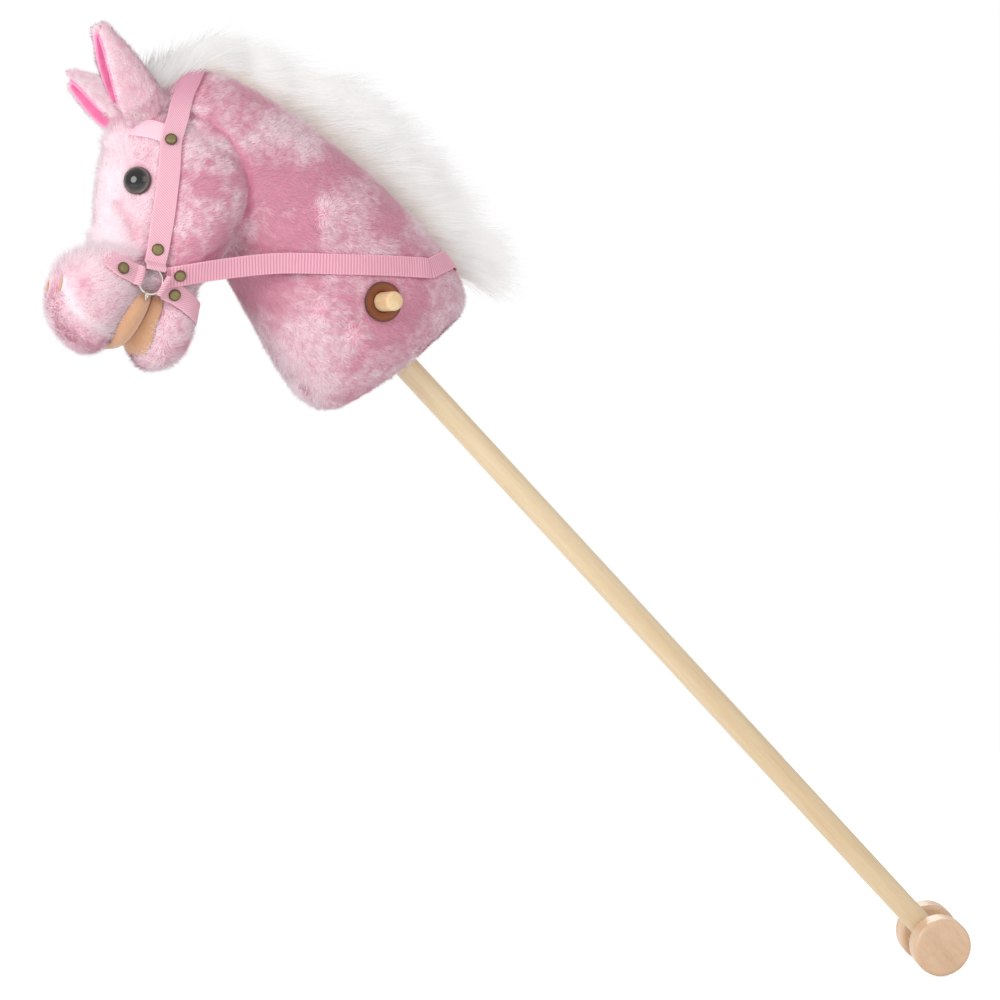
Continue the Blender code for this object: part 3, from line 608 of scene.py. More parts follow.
def strapMesh(name, route, crosses, size=strapSize):
    atRing = name not in ("browband", "rein_tab")
    fine = np.arange(foldSize["steps"]) * foldSize["step"] if atRing else ()
    points, ways = evenly(routeLine(route, 0 if crosses else size["leastFromMiddle"]), size["step"], fine)
    if crosses:
        points += [mirrored(p) for p in points[-2::-1]]
        ways += [mirrored(w) for w in ways[-2::-1]]
    for _ in range(size["turns"]):
        ways = [(before + way * 2 + after).normalized()
                for before, way, after in zip(ways[:1] + ways, ways, ways[1:] + ways[-1:])]
    pullTaut(points, ways, size["pulls"])
    for _ in range(size["eased"] if name == "rein" else 0):
        # it bends gently on its way up
        points[1:-1] = [(a + b * 2 + c) / 4 for a, b, c in zip(points, points[1:], points[2:])]
    rows = strapRows(points, ways)
    for i, way in enumerate(ways):
        at = nearSide(points[i])
        lift = overRing(at) if atRing else 0.0
        lift += strapLayer.get(name, 0.0) * unit((size["layerEnds"] - (at - ringAt).length) / size["layerFade"])
        if name == "rein":
            # its end lies on the tab's
            lift += size["endOver"] * unit(2 - (len(points) - 1 - i) * size["step"] / size["endFade"])
        if name in ("noseband", "browband"):
            # it presses into the plush near the middle
            lift -= size["sunk"] * unit(2 - abs(at.y) / size["sinkFade"])
        for row in rows:
            row[i] = row[i] + way * lift
    mesh = gridMesh(rows, ways[0])
    # its own map, in metres along and across
    run = np.concatenate(([0], np.cumsum([(b - a).length for a, b in zip(points, points[1:])])))
    column, step = np.divmod([loop.vertex_index for loop in mesh.loops], len(points))
    weave = np.stack([run[step], column / size["columns"] * size["width"]], axis=1)
    mesh.uv_layers.new(name="weave").uv.foreach_set("vector", weave.astype(np.float32).ravel())
    return worked(mesh, ("SOLIDIFY", {"thickness": size["thickness"], "offset": 1, "use_even_offset": True}),
                  ("SUBSURF", {"levels": 1, "render_levels": 1}))


def fromRing(name, route):
    ring, first = Vector(ringPlace), Vector(route[0][0])
    span = foldSize["reinSpan" if name == "rein" else "span"]
    return ((tuple(ring + (first - ring).normalized() * span), aside), *route)


def wovenFinish(name, light, shade, rib, slant=0.0, depth=0.25 * mm, paintedShadeHeights=None):
    # ribs across the strap or aslant, closely woven between, with a firmer edge; the last argument gives between which
    # heights painted shade darkens it towards the poll
    finish = Finish(name, Roughness=0.8, Sheen_Weight=0.15, Sheen_Tint=(1.0, 0.85, 0.9), Specular_IOR_Level=0.2)
    spot = finish.place(map="weave")
    along, across = (finish.add("ShaderNodeSeparateXYZ", None, {0: spot}, k) for k in (0, 1))
    wave = ((along + across * slant) * (2 * math.pi / rib)).maths("SINE") * 0.5 + 0.5
    cross = ((across - along * slant) * (2 * math.pi / (0.9 * mm))).maths("SINE") * 0.5 + 0.5
    edge = (across - strapSize["width"] / 2).maths("ABSOLUTE")
    edge = finish.step(edge * (2 / strapSize["width"]), 0.84, 0.93)
    fine = finish.noise(spot, 1800, 2)
    weave = wave * (0.62 + 0.2 * cross) + fine * 0.18
    colour = finish.mix(edge * 0.35, finish.mix(weave, shade, light), light)
    # painted shade: towards the poll the strap turns up and away from the light, and is darkened
    if paintedShadeHeights:
        up = finish.step(finish.add("ShaderNodeSeparateXYZ", None, {0: finish.place()}, 2), *paintedShadeHeights)
        colour = finish.mix(up * 0.55, colour, (0.50, 0.19, 0.30))
    finish.feed("Base_Color", colour)
    finish.bump(weave, depth, 0.5)
    return finish


ribbed = wovenFinish("ribbedWebbing", (0.88, 0.48, 0.57), (0.58, 0.23, 0.32), 2.3 * mm)
twill = wovenFinish("twillWebbing", (0.88, 0.54, 0.62), (0.60, 0.28, 0.36), 1.8 * mm, 0.9, 0.3 * mm, (0.128, 0.150))
browWeave = wovenFinish("browWebbing", (0.94, 0.68, 0.75), (0.76, 0.44, 0.53), 1.8 * mm, 0.9, 0.3 * mm)
straps = {}
for name, route in strapRoutes.items():
    route = route if name in ("browband", "rein_tab") else fromRing(name, route)
    mesh = strapMesh(name, route, name != "rein")
    if name == "rein":
        other = mesh.copy()
        other.transform(Matrix.Diagonal((1, -1, 1, 1)))
        other.flip_normals()
        straps["rein_left"], straps["rein_right"] = mesh, other
    else:
        straps[name] = mesh
print("straps laid")

# fur

furSize = {"Length": 4.6 * mm, "Width": 0.42 * mm, "Per square metre": 1.9e6, "Lean": 0.84, "Mess": 0.12,
           "Ruffled lean": 0.24, "Glint": 0.3, "Droop": (0.0, 0.0, 0.0), "Wave": 3.2 * mm, "Wave scale": 230, "Seed": 4}
furKinds = {"Droop": "Vector", "Seed": "Int"}


def blade(name, levels, bend):
    # one strand, a narrow leaf that faces +Y, a unit wide and a unit long
    bm = bmesh.new()
    height = bm.verts.layers.float.new("height")
    rows = []
    for i in range(levels):
        t = i / levels
        half = 0.5 * (1 - t) ** 0.6
        rows.append([bm.verts.new((x, bend * t * t, t)) for x in (half, -half)])
    rows.append([bm.verts.new((0, bend, 1))])
    for vertex in bm.verts:
        vertex[height] = vertex.co.z
    for below, above in zip(rows, rows[1:]):
        bm.faces.new((*below, *above[::-1]))
    return put(name, meshOf(bm, name))


def groupTree(name, inputs, output):
    # an empty geometry group, with what it is given by name
    group = bpy.data.node_groups.new(name, "GeometryNodeTree")
    for label, kind in inputs:
        group.interface.new_socket(label, in_out="INPUT", socket_type="NodeSocket" + kind)
    group.interface.new_socket(output, in_out="OUTPUT", socket_type="NodeSocketGeometry")
    tree = Tree(group)
    return tree, {socket.name: Value(tree, socket) for socket in group.nodes.new("NodeGroupInput").outputs
                  if socket.name}


def realized(tree, instances, finish, moved=None):
    # the end of a group: real faces, moved if asked, in one material
    real = tree.add("GeometryNodeRealizeInstances", None, {"Geometry": instances})
    if moved:
        real = tree.add("GeometryNodeSetPosition", None, {"Geometry": real, "Offset": moved})
    coloured = tree.add("GeometryNodeSetMaterial", None, {"Geometry": real, "Material": finish.material})
    tree.set(tree.tree.nodes.new("NodeGroupOutput").inputs[0], coloured)
    return tree.tree


def furTree(finish):
    # strands over a surface, combed and leaned by its "comb", "pile" and "bare" attributes
    tree, given = groupTree("fur", (("Skin", "Geometry"), ("Strand", "Object"),
                                    *((label, furKinds.get(label, "Float")) for label in furSize)), "Fur")

    def kept(label, kind="FLOAT"):
        return tree.add("GeometryNodeInputNamedAttribute", {"data_type": kind}, {"Name": label})

    def store(geometry, label, value, kind="FLOAT_VECTOR"):
        return tree.add("GeometryNodeStoreNamedAttribute", {"data_type": kind, "domain": "POINT"}, {
            "Geometry": geometry, "Name": label, "Value": value})

    def vectorMaths(operation, *values):
        return tree.add("ShaderNodeVectorMath", {"operation": operation}, dict(enumerate(values)))

    def scaled(vector, number):
        return tree.add("ShaderNodeVectorMath", {"operation": "SCALE"}, {"Vector": vector, "Scale": number})

    def summed(first, *others):
        return summed(vectorMaths("ADD", first, others[0]), *others[1:]) if others else first

    def chance(kind, low, high, output):
        return tree.add("FunctionNodeRandomValue", {"data_type": kind}, {
            "Min": low, "Max": high, "Seed": given["Seed"]}, output)

    scatter = tree.add("GeometryNodeDistributePointsOnFaces", None, {
        "Mesh": given["Skin"], "Density": given["Per square metre"] * (1 - kept("bare")), "Seed": given["Seed"]})
    normal = Value(tree, scatter.socket.node.outputs["Normal"])
    stray = chance("FLOAT_VECTOR", (-1, -1, -1), (1, 1, 1), 0)
    out, comb, face = (kept(label, "FLOAT_VECTOR") for label in ("out", "comb", "face"))
    ruffled = kept("ruffle") * given["Ruffled lean"]
    lean = given["Lean"] - ruffled
    way = summed(scaled(out, 1 - lean), scaled(comb, lean), scaled(stray, given["Mess"] + ruffled))
    held = store(scatter, "out", normal)
    held = store(held, "shade", summed(face, scaled(comb, 0.2), scaled(stray, given["Glint"])))
    held = store(held, "tint", chance("FLOAT", 0.1, 1.0, 1), "FLOAT")
    turn = tree.add("FunctionNodeAlignRotationToVector", {"axis": "Z"}, {"Vector": way})
    turn = tree.add("FunctionNodeAlignRotationToVector", {"axis": "Y", "pivot_axis": "Z"}, {
        "Rotation": turn, "Vector": face})
    size = tree.add("ShaderNodeCombineXYZ", None, {
        "X": given["Width"], "Y": given["Length"],
        "Z": given["Length"] * kept("pile") * chance("FLOAT", 0.65, 1.15, 1)})
    strand = tree.add("GeometryNodeObjectInfo", None, {"Object": given["Strand"]}, 4)
    planted = tree.add("GeometryNodeInstanceOnPoints", None, {
        "Points": held, "Instance": strand, "Rotation": turn, "Scale": size})
    # tips hang and wander more than roots
    stir = tree.add("ShaderNodeTexNoise", None, {
        "Vector": tree.add("GeometryNodeInputPosition"), "Scale": given["Wave scale"], "Detail": 1.0}, 1)
    height = kept("height")
    hang = scaled(given["Droop"], height * height * kept("pile"))
    wander = scaled(vectorMaths("SUBTRACT", stir, (0.5, 0.5, 0.5)), given["Wave"] * height)
    return realized(tree, planted, finish, summed(hang, wander))


def grown(mesh, group, **given):
    # the plain mesh that a geometry node group makes from a mesh
    thing = put("skin", mesh)
    modifier = thing.modifiers.new("growing", "NODES")
    modifier.node_group = group
    for item in group.interface.items_tree:
        if item.in_out == "INPUT" and item.name in given:
            modifier[item.identifier] = given[item.name]
    return evaluated(thing)


shortStrand = blade("shortStrand", 2, 0.12)
plushFur = furTree(bodyPlush)


def fur(name, skin, strand, group, size, finish, replaced=()):
    # the strands on a skin, as a piece of plain faces
    crowd = size["Per square metre"] * 1
    strands = grown(skin, group, **{**size, "Strand": strand, "Per square metre": crowd})
    finished(name, strands, finish, replaced)
    print(name, len(strands.polygons), "faces")


def combSkin(mesh, flow, pile, cover=None, clear=0.0, facing=None):
    # how strands lie on a skin: flow(vertex) is a way, made to lie on the skin unless they face elsewhere
    comb, face, bare, length = [], [], [], []
    for vertex in mesh.vertices:
        way = Vector(flow(vertex))
        if not facing:
            way -= vertex.normal * way.dot(vertex.normal)
        comb.append(way.normalized())
        face.append(facing(vertex) if facing else vertex.normal.copy())
        near = cover.find_nearest(vertex.co, 0.01) if cover else (None,)
        bare.append(1.0 if near[0] is not None and near[3] < clear else 0.0)
        length.append(pile(vertex))
    for label, values in (("comb", comb), ("face", face), ("bare", bare), ("pile", length)):
        carry(mesh, label, values)


# patches of the pile, each a place and a radius in the middle plane in millimetres, and how much:
# ruffled and pale above 0, smooth and deep below; the paleness and depth are partly painted light and shade
plushPatches = (
    (17, 75, 9, 0.7), (-64, 143, 18, 0.4), (-12, 166, 18, 0.5), (-43, 158, 15, -0.6), (13, 111, 30, -0.8),
    (-8, 77, 20, -0.7), (49, 38, 16, -0.8), (48, 131, 22, 0.5), (42, 15, 13, 0.3), (-51, 69, 16, -0.9),
    (36, -24, 16, -0.6), (-66, 28, 24, 0.6), (-35, 27, 9, 0.5), (-31, -3, 10, 0.5), (-30, 12, 14, -0.4),
    (-72, -11, 24, 0.6), (-12, -31, 14, 0.3), (-149, 154, 34, 0.9), (-132, 106, 30, 0.8), (-64, 219, 26, 1.3),
    (-98, 193, 24, 1.2), (-112, 178, 20, 1.0), (-91, 160, 9, -0.4), (-111, 134, 9, 1.4), (57, 84, 17, -0.55),
    (38, 92, 13, -0.5))
# where painted light makes it paler, towards white, on the face, the muzzle, the lower neck and inside the ring
paintedLightPatches = ((-98, 193, 26, 1.0), (-78, 212, 24, 1.0), (-112, 176, 16, 0.6), (-142, 186, 18, 0.5),
            (-172, 160, 16, 0.4), (-68, 25, 26, 0.3), (-76, -10, 22, 0.25), (-111, 134.5, 10, 1.0))
# where it parts in a star, with how far
bursts = ((17, 75, 14), (-35, 27, 10), (-31, -3, 10))


def patched(patches, x, z):
    return sum(much * math.exp(-((x - px) ** 2 + (z - pz) ** 2) / radius ** 2) for px, pz, radius, much in patches)


# how far from covers it stops, and reaches round an ear, a cover and the ring
pileSize = {"clear": 2.4 * mm, "ear": 12 * mm, "beside": 7 * mm, "ring": 9 * mm, "ringFoot": 120 * mm}
# places in the middle plane, in millimetres, and the lip's edge as a place, a run and its length
headPlaces = {"jowl": (-30, 155), "jowlReach": (30, 42), "lipsBack": -95, "lipsTop": 165, "muzzleTop": 180,
              "chinBack": -70, "chinTop": 150, "headFoot": 110, "lip": (-123, 127.5), "lipRun": (28, 21.5),
              "lipLength": 35.3, "turned": 28, "turning": 11}
# boxes in millimetres: a range of x, of the distance from the middle plane and of height
pileBoxes = {"noseband": ((-142, -104), (-1, 30), (136, 999)), "browband": ((-54, -22), (-1, 15), (196, 999)),
             "poll": ((-16, 4), (6, 26), (198, 999))}


def inBox(spot, name):
    at = (spot.x / mm, abs(spot.y) / mm, spot.z / mm)
    return all(low < value < high for value, (low, high) in zip(at, pileBoxes[name]))


def jowlAt(x, z):
    return math.exp(-sum(((at - middle) / reach) ** 2
                         for at, middle, reach in zip((x, z), headPlaces["jowl"], headPlaces["jowlReach"])))


def ridgeAt(spot):
    return alongSeam(seams[-1], np.array([spot]))[0]


def ruffleOf(vertex):
    x, z = vertex.co.x / mm, vertex.co.z / mm
    drift = vertex.co + Vector((0.4, 0.1, 0.7))
    share = 0.42 + 0.55 * noise.noise(drift * 24) + 0.3 * noise.noise(drift * 60)
    share += patched(plushPatches, x, z) * 0.6
    jowl = jowlAt(x, z)
    muzzle = x < headPlaces["lipsBack"] and z < headPlaces["muzzleTop"]
    curls = 0.7 * noise.noise(drift * 130) * max(jowl, 1.0 if muzzle else 0.35)
    return unit(share + jowl * 0.12 + ridgeAt(vertex.co) * 0.5 + curls)


earSkins = [skinOf(nodeMesh("ear_" + side)) for side in sides]


def nearEar(spot, reach=pileSize["ear"]):
    # the way to an ear's foot, and how near it is
    hits = [hit for hit in (skin.find_nearest(spot, reach) for skin in earSkins) if hit[0] is not None]
    if not hits:
        return Vector(), 0.0
    hit = min(hits, key=lambda h: h[3])
    return (hit[0] - spot).normalized(), 1 - hit[3] / reach


# how much painted light whitens the pile at a point, also along the pale ridge
def paintedLightOf(vertex):
    share = patched(paintedLightPatches, vertex.co.x / mm, vertex.co.z / mm) + 0.7 * ridgeAt(vertex.co)
    return min(1.0, share * (1 + 0.5 * noise.noise(vertex.co * 60)))


def plushFlow(vertex, at=headPlaces):
    # pile lies down and back along the neck, back from the nose on the head, and away from each burst
    spot = vertex.co
    swirl = sum((noise.noise_vector(spot * fine) * much for fine, much in ((22, 0.6), (70, 0.3), (160, 0.45))),
                Vector())
    x, z = spot.x / mm, spot.z / mm
    lip, run = at["lip"], at["lipRun"]
    pastLips = ((x - lip[0]) * run[1] - (z - lip[1]) * run[0]) / at["lipLength"]
    if x < at["chinBack"] and z < at["chinTop"]:
        base = Vector((0.9, spot.y * 8, -0.3))
        if x < at["lipsBack"] and 0 < pastLips < at["turned"]:
            # the chin's turns to close over the edge of the suede
            share = min(1.0, (at["turned"] - pastLips) / at["turning"])
            base = base.lerp(Vector((-0.6, spot.y * 6, 0.8)), share)
            base += Vector((-0.8, 0, -0.6)) * share * (1 - share) * 4
    elif z > at["headFoot"]:
        base = Vector((0.85, spot.y * 4, -0.5))
    else:
        base = Vector((0.35, 0, -0.9))
    for px, pz, radius in bursts:
        away = Vector((x - px, 0, z - pz))
        if away.length < radius:
            base = base.lerp(away.normalized() * 1.5, 1 - away.length / radius * 0.7)
    toEar, near = nearEar(spot)
    return base + swirl + toEar * near * 1.6


def plushPile(vertex):
    # longer on the jowl and the lips, by the ears, on the poll and over straps' far ends, short in a seam
    spot = vertex.co
    x, z = spot.x / mm, spot.z / mm
    lips = x < headPlaces["lipsBack"] and z < headPlaces["lipsTop"]
    length = 0.8 + 0.25 * ruffleOf(vertex) + 0.3 * jowlAt(x, z) + 0.1 * lips + 0.2 * noise.noise(spot * 45)
    beside = covers.find_nearest(spot, pileSize["beside"])[0] is not None
    longer = 0.0 if beside else 0.8 * nearEar(spot)[1] + 1.1 * inBox(spot, "poll")
    longer += 0.9 * overStrap(spot) + 1.3 * insideRing(spot)
    crease = stuffedMesh.attributes["crease"].data[vertex.index].value
    return (length + longer) * (1 - 0.5 * crease)


def overStrap(spot):
    # fur closes over the noseband and the browband away from the cheeks
    return inBox(spot, "noseband") or inBox(spot, "browband")


def insideRing(spot):
    away = nearSide(spot) - ringAt
    return (away - ringAxis * away.dot(ringAxis)).length < pileSize["ring"] and spot.z > pileSize["ringFoot"]


# what the pile keeps clear of
hard = bmesh.new()
for name in nodes:
    if name.startswith(("eye_left", "eye_right", "grip_disc", "rivet", "bit_link", "nostril")):
        hard.from_mesh(nodeMesh(name))
for mesh in straps.values():
    hard.from_mesh(mesh)
covers = skinOf(meshOf(hard, "covers"))

combSkin(stuffedMesh, plushFlow, plushPile, covers, pileSize["clear"])
carry(stuffedMesh, "ruffle", [ruffleOf(vertex) for vertex in stuffedMesh.vertices])
# the painted light on each point
carry(stuffedMesh, "paintedLight", [paintedLightOf(vertex) for vertex in stuffedMesh.vertices])
for vertex in stuffedMesh.vertices:
    if overStrap(vertex.co) or insideRing(vertex.co):
        stuffedMesh.attributes["bare"].data[vertex.index].value = 0.0


def partOf(mesh, keep):
    # the faces of a mesh whose middles pass a test, with their attributes
    bm = editable(mesh)
    bmesh.ops.delete(bm, geom=[f for f in bm.faces if not keep(f.calc_center_median())], context="FACES")
    return meshOf(bm, "part")


# where the pile is parted into pieces, in millimetres
partings = {"muzzleBack": -86, "muzzleTop": 172, "jaw": 100, "nape": 30, "foot": 30}


def region(spot):
    x, z = spot.x / mm, spot.z / mm
    if x < partings["muzzleBack"] and z < partings["muzzleTop"]:
        return "Muzzle"
    part = "Head" if z > partings["jaw"] and x < partings["nape"] else "Neck" if z > partings["foot"] else "Foot"
    return part + ("Left" if spot.y < 0 else "Right")


for label in ("Muzzle", "HeadLeft", "HeadRight", "NeckLeft", "NeckRight", "FootLeft", "FootRight"):
    part = partOf(stuffedMesh, lambda spot: region(spot) == label)
    fur("fur" + label, part, shortStrand, plushFur, furSize, bodyPlush)
finished("stuffedPlush", stuffedMesh, plushBacking, stuffedNodes)

# ears

earSize = {"voxel": 1.4 * mm, "rounds": 8, "plump": 0.4 * mm, "clear": 3.6 * mm, "meets": 17 * mm, "foot": 16 * mm,
           "sunk": 3.0 * mm}
earFurSize = {**furSize, "Length": 4.0 * mm, "Lean": 0.8, "Mess": 0.14, "Seed": 11}
earFurTree = furTree(earPlush)


def earFooted(skin, size=earSize):
    # its foot closes down onto the head
    for vertex in skin.vertices:
        spot, out, _, away = plushSkin.find_nearest(vertex.co)
        if away < size["meets"] and (vertex.co - spot).dot(out) > 0:
            share = away / size["meets"]
            eased = share * share * (3 - 2 * share)
            vertex.co = spot + (vertex.co - spot) * eased - out * (size["sunk"] * (1 - share))
    skin.update()


def earPile(vertex):
    return 0.9 + 0.9 * max(0.0, 1 - plushSkin.find_nearest(vertex.co)[3] / earSize["foot"])


def earRuffle(vertex):
    return max(0.0, 0.62 + 0.6 * noise.noise(vertex.co * 60) + 0.6 * noise.noise(vertex.co * 150))


for side in sides:
    skin = remeshed(nodeMesh("ear_" + side, grow=earSize["plump"]), earSize["voxel"], earSize["rounds"])
    earFooted(skin)
    heights = sorted(nodeMesh("ear_" + side).vertices, key=lambda v: v.co.z)
    reach = heights[-1].co - heights[0].co
    combSkin(skin, lambda vertex: reach + noise.noise_vector(vertex.co * 90) * 0.03, earPile,
             skinOf(nodeMesh("ear_lining_" + side)), earSize["clear"])
    carry(skin, "ruffle", [earRuffle(vertex) for vertex in skin.vertices])
    fur("earFur_" + side, skin, shortStrand, earFurTree, earFurSize, earPlush)
    finished("plushEar_" + side, skin, earBacking, ("ear_" + side,))
print("ears made")

# mane: long strands from a band along the crest

maneSize = {"bandWidth": 15 * mm, "columns": 6, "step": 3 * mm, "sunk": 1.5 * mm, "reach": 30 * mm, "layers": 2}
maneFurSize = {"Length": 70 * mm, "Width": 0.55 * mm, "Per square metre": 2.3e6, "Lean": 0.97, "Mess": 0.17,
               "Ruffled lean": 0.0, "Glint": 0.15, "Droop": (-0.723 * 0.014, 0.0, -0.691 * 0.014), "Wave": 16 * mm,
               "Wave scale": 30.0, "Seed": 7}
crestRoute = (((-15, 190), (-0.25, 0, 1)), ((-8, 190), (-0.15, 0, 1)), ((4, 188), (0.2, 0, 1)),
              ((14, 178), (0.5, 0, 1)), ((24, 168), (0.75, 0, 0.9)), ((36, 130), (1, 0, 0.45)),
              ((42, 90), (1, 0, 0.3)), ((45, 50), (1, 0, 0.05)), ((45, 10), behind), ((45, -36), (1, 0, -0.1)))
# along the crest from the poll to its foot: share of the way, length and the way of the strands
maneFall = ((0.00, 0.62, 0.60, 0.62), (0.06, 0.75, 0.85, 0.40), (0.12, 0.80, 0.97, -0.05), (0.20, 0.88, 0.92, -0.40),
            (0.32, 1.00, 0.83, -0.55), (0.50, 1.06, 0.88, -0.48), (0.66, 1.00, 0.90, -0.44), (0.80, 0.92, 0.87, -0.50),
            (0.92, 0.90, 0.77, -0.64), (1.00, 0.75, 0.52, -0.85))


def maneBand(size=maneSize):
    # a band laid on the crest and sunk a little, and each point's share of the way along it
    points, ways = evenly(routeLine(crestRoute, 0), size["step"])
    rows = []
    for point, way in zip(points, ways):
        rows.append([])
        for k in range(size["columns"] + 1):
            spot = point + Vector((0, size["bandWidth"] * (k / size["columns"] - 0.5), 0))
            hit = packedSkin.ray_cast(spot + way * size["reach"], -way, size["reach"] * 2)[0]
            rows[-1].append((hit or spot) - way * size["sunk"])
    return gridMesh(rows, ways[0]), np.repeat(np.linspace(0, 1, len(rows)), size["columns"] + 1)


def furFinish(name):
    # white hair, with painted brownish shade at its roots, reaching further up at the poll, in lighter and greyer locks
    finish = Finish(name, Roughness=0.6, Sheen_Weight=0.3, Specular_IOR_Level=0.2)
    # painted shade reaches further up the strands at the poll
    poll = 1 - finish.step(finish.kept("share"), 0.02, 0.22)
    height = finish.kept("height") - poll * 0.22
    spot = finish.place()
    locks = finish.noise(spot, 60, 2) * 0.6 + finish.kept("tint") * 0.4
    white = finish.mix(locks, (0.80, 0.78, 0.77), (0.95, 0.94, 0.935))
    shadedRoot = finish.mix(locks, (0.60, 0.48, 0.43), (0.84, 0.77, 0.73))
    finish.feed("Base_Color", finish.mix(finish.step(height, 0.02, 0.42), shadedRoot, white))
    return finish


longWhite = furFinish("longWhiteFur")
longStrand = blade("longStrand", 7, 0.06)
longFur = furTree(longWhite)
band, shares = maneBand()
carry(band, "share", shares)


def fallAt(vertex, column):
    return np.interp(shares[vertex.index], [row[0] for row in maneFall], [row[column] for row in maneFall])


def maneFlow(vertex):
    way = Vector((fallAt(vertex, 2), vertex.co.y * 14, fallAt(vertex, 3)))
    return way + noise.noise_vector(vertex.co * 45) * 0.22


def maneFacing(vertex):
    return Vector((0.25, -0.9 if vertex.co.y < 1 * mm else 0.9, 0.25)).normalized()


combSkin(band, maneFlow, lambda vertex: fallAt(vertex, 1), facing=maneFacing)
# it starts thin
band.attributes["bare"].data.foreach_set("value", np.clip(0.8 - shares * 7, 0, 1).astype(np.float32))
for i in range(maneSize["layers"]):
    fur("maneFur%d" % i, band, longStrand, longFur, {**maneFurSize, "Seed": maneFurSize["Seed"] + i}, longWhite,
        () if i else ("mane",))
# the band under the hair is brownish grey, as painted shade beneath the mane
bandShadeFinish = mottled("maneBand", 400, (0.50, 0.43, 0.38), (0.60, 0.53, 0.46), Roughness=0.95)
finished("maneBandCloth", worked(band, ("SOLIDIFY", {"thickness": 1.0 * mm, "offset": -1})), bandShadeFinish)

# straps, finished

for name, mesh in straps.items():
    weave = ribbed if name.startswith("rein") else browWeave if name == "browband" else twill
    finished(name + "Webbing", mesh, weave, (name,))

# rivets, one shape set on every place

rivetSize = {"radius": 4.4 * mm, "height": 2.1 * mm, "steps": 28}


def rivetShape(size=rivetSize):
    # a flat-domed cap with a rolled edge
    r, h = size["radius"], size["height"]
    shares = ((0, 1), (0.35, 0.98), (0.62, 0.90), (0.76, 0.80), (0.80, 0.72), (0.86, 0.78), (0.94, 0.70), (1, 0.45),
              (1, 0.1), (0.9, -0.2), (0, -0.2))
    return put("rivetShape", turnedMesh([(r * out, h * up) for out, up in shares], size["steps"]))


def placedTree(name, finish):
    # one shape at each point of a mesh, standing along the point's "out"
    tree, given = groupTree(name, (("Places", "Geometry"), ("Shape", "Object"), ("Size", "Float")), "Placed")
    out = tree.add("GeometryNodeInputNamedAttribute", {"data_type": "FLOAT_VECTOR"}, {"Name": "out"})
    turn = tree.add("FunctionNodeAlignRotationToVector", {"axis": "Z"}, {"Vector": out})
    shape = tree.add("GeometryNodeObjectInfo", None, {"Object": given["Shape"]}, 4)
    return realized(tree, tree.add("GeometryNodeInstanceOnPoints", None, {
        "Points": given["Places"], "Instance": shape, "Rotation": turn, "Scale": given["Size"]}), finish)


def brassFinish():
    finish = Finish("agedBrass", Metallic=0.75, Roughness=0.45)
    rim = finish.step(finish.kept("rim"), 0.66, 0.84)
    wear = finish.noise(finish.place(), 700, 3)
    metal = finish.mix(wear, (0.15, 0.12, 0.05), (0.26, 0.21, 0.10))
    finish.feed("Base_Color", finish.mix(rim * 0.8, metal, (0.08, 0.06, 0.03)))
    finish.bump(wear, 0.0001, 0.4)
    return finish


brass = brassFinish()
rivetNodes = [name for name in nodes if name.startswith("rivet_")]
rivetRests = [turnedPlace(name)[:3] for name in rivetNodes]
rivetPlaces = bpy.data.meshes.new("rivetPlaces")
rivetPlaces.from_pydata([middle + axis * (front - rivetSize["height"]) for middle, axis, front in rivetRests], [], [])
carry(rivetPlaces, "out", [axis for _, axis, _ in rivetRests])
rivetCap = rivetShape()
rivets = grown(rivetPlaces, placedTree("rivets", brass), Shape=rivetCap, Size=1.0)
rivets.shade_smooth()
finished("bridleRivets", rivets, brass, rivetNodes)
print("rivets set,", len(rivetNodes))

# rings and links

steel = mottled("dullSteel", 500, (0.50, 0.46, 0.41), (0.66, 0.62, 0.56), Metallic=0.9, Roughness=0.38)
for side in sides:
    for part in ("bit_ring_", "bit_link_"):
        name = part.replace("_", "") + "Steel_" + side
        finished(name, rounded(nodeMesh(part + side)), steel, (part + side,))

# eyes: a black dome with a clear brown rim, in its washer

eyeSize = {"steps": 56, "dome": 6.4 * mm, "rings": 14}


def eyeFinish():
    finish = Finish("glossyEye", Roughness=0.06, Specular_IOR_Level=0.5)
    rim = finish.kept("rim")
    mottle = finish.noise(finish.place(), 260, 2)
    ring = finish.ramp(rim + mottle * 0.06, (0.0, (0.004, 0.004, 0.005)), (0.66, (0.006, 0.006, 0.007)),
                       (0.80, (0.045, 0.035, 0.03)), (0.93, (0.16, 0.13, 0.115)), (1.0, (0.05, 0.04, 0.035)))
    finish.feed("Base_Color", ring)
    return finish


def eyeProfile(radius, deep):
    dome, rings = eyeSize["dome"], eyeSize["rings"]
    turns = (math.pi / 2 * i / rings for i in range(rings + 1))
    return [*((radius * math.sin(a), dome * (math.cos(a) - 1)) for a in turns),
            (radius * 0.98, -dome - 0.4 * mm), (radius * 0.9, -deep), (0, -deep)]


def turnedPiece(name, node, profileOf, steps, finish):
    # a shape turned to fit a packed one, in its place
    middle, axis, front, back, radius = turnedPlace(node)
    mesh = turnedMesh(profileOf(radius, front - back), steps)
    mesh.transform(Matrix.Translation(middle + axis * front) @ axis.to_track_quat("Z", "X").to_matrix().to_4x4())
    finished(name, mesh, finish, (node,))


eyeGloss = eyeFinish()
washerFinish = mottled("eyeWasher", 300, (0.80, 0.72, 0.72), (0.86, 0.80, 0.80), Roughness=0.55)
for side in sides:
    turnedPiece("glossEye_" + side, "eye_" + side, eyeProfile, eyeSize["steps"], eyeGloss)
    nodes["eye_washer_" + side].material_slots[0].material = washerFinish.material

# leather discs round the handle

discSize = {"steps": 64, "thickness": 2.2 * mm, "dish": 1.6 * mm, "hole": 7.35 * mm}


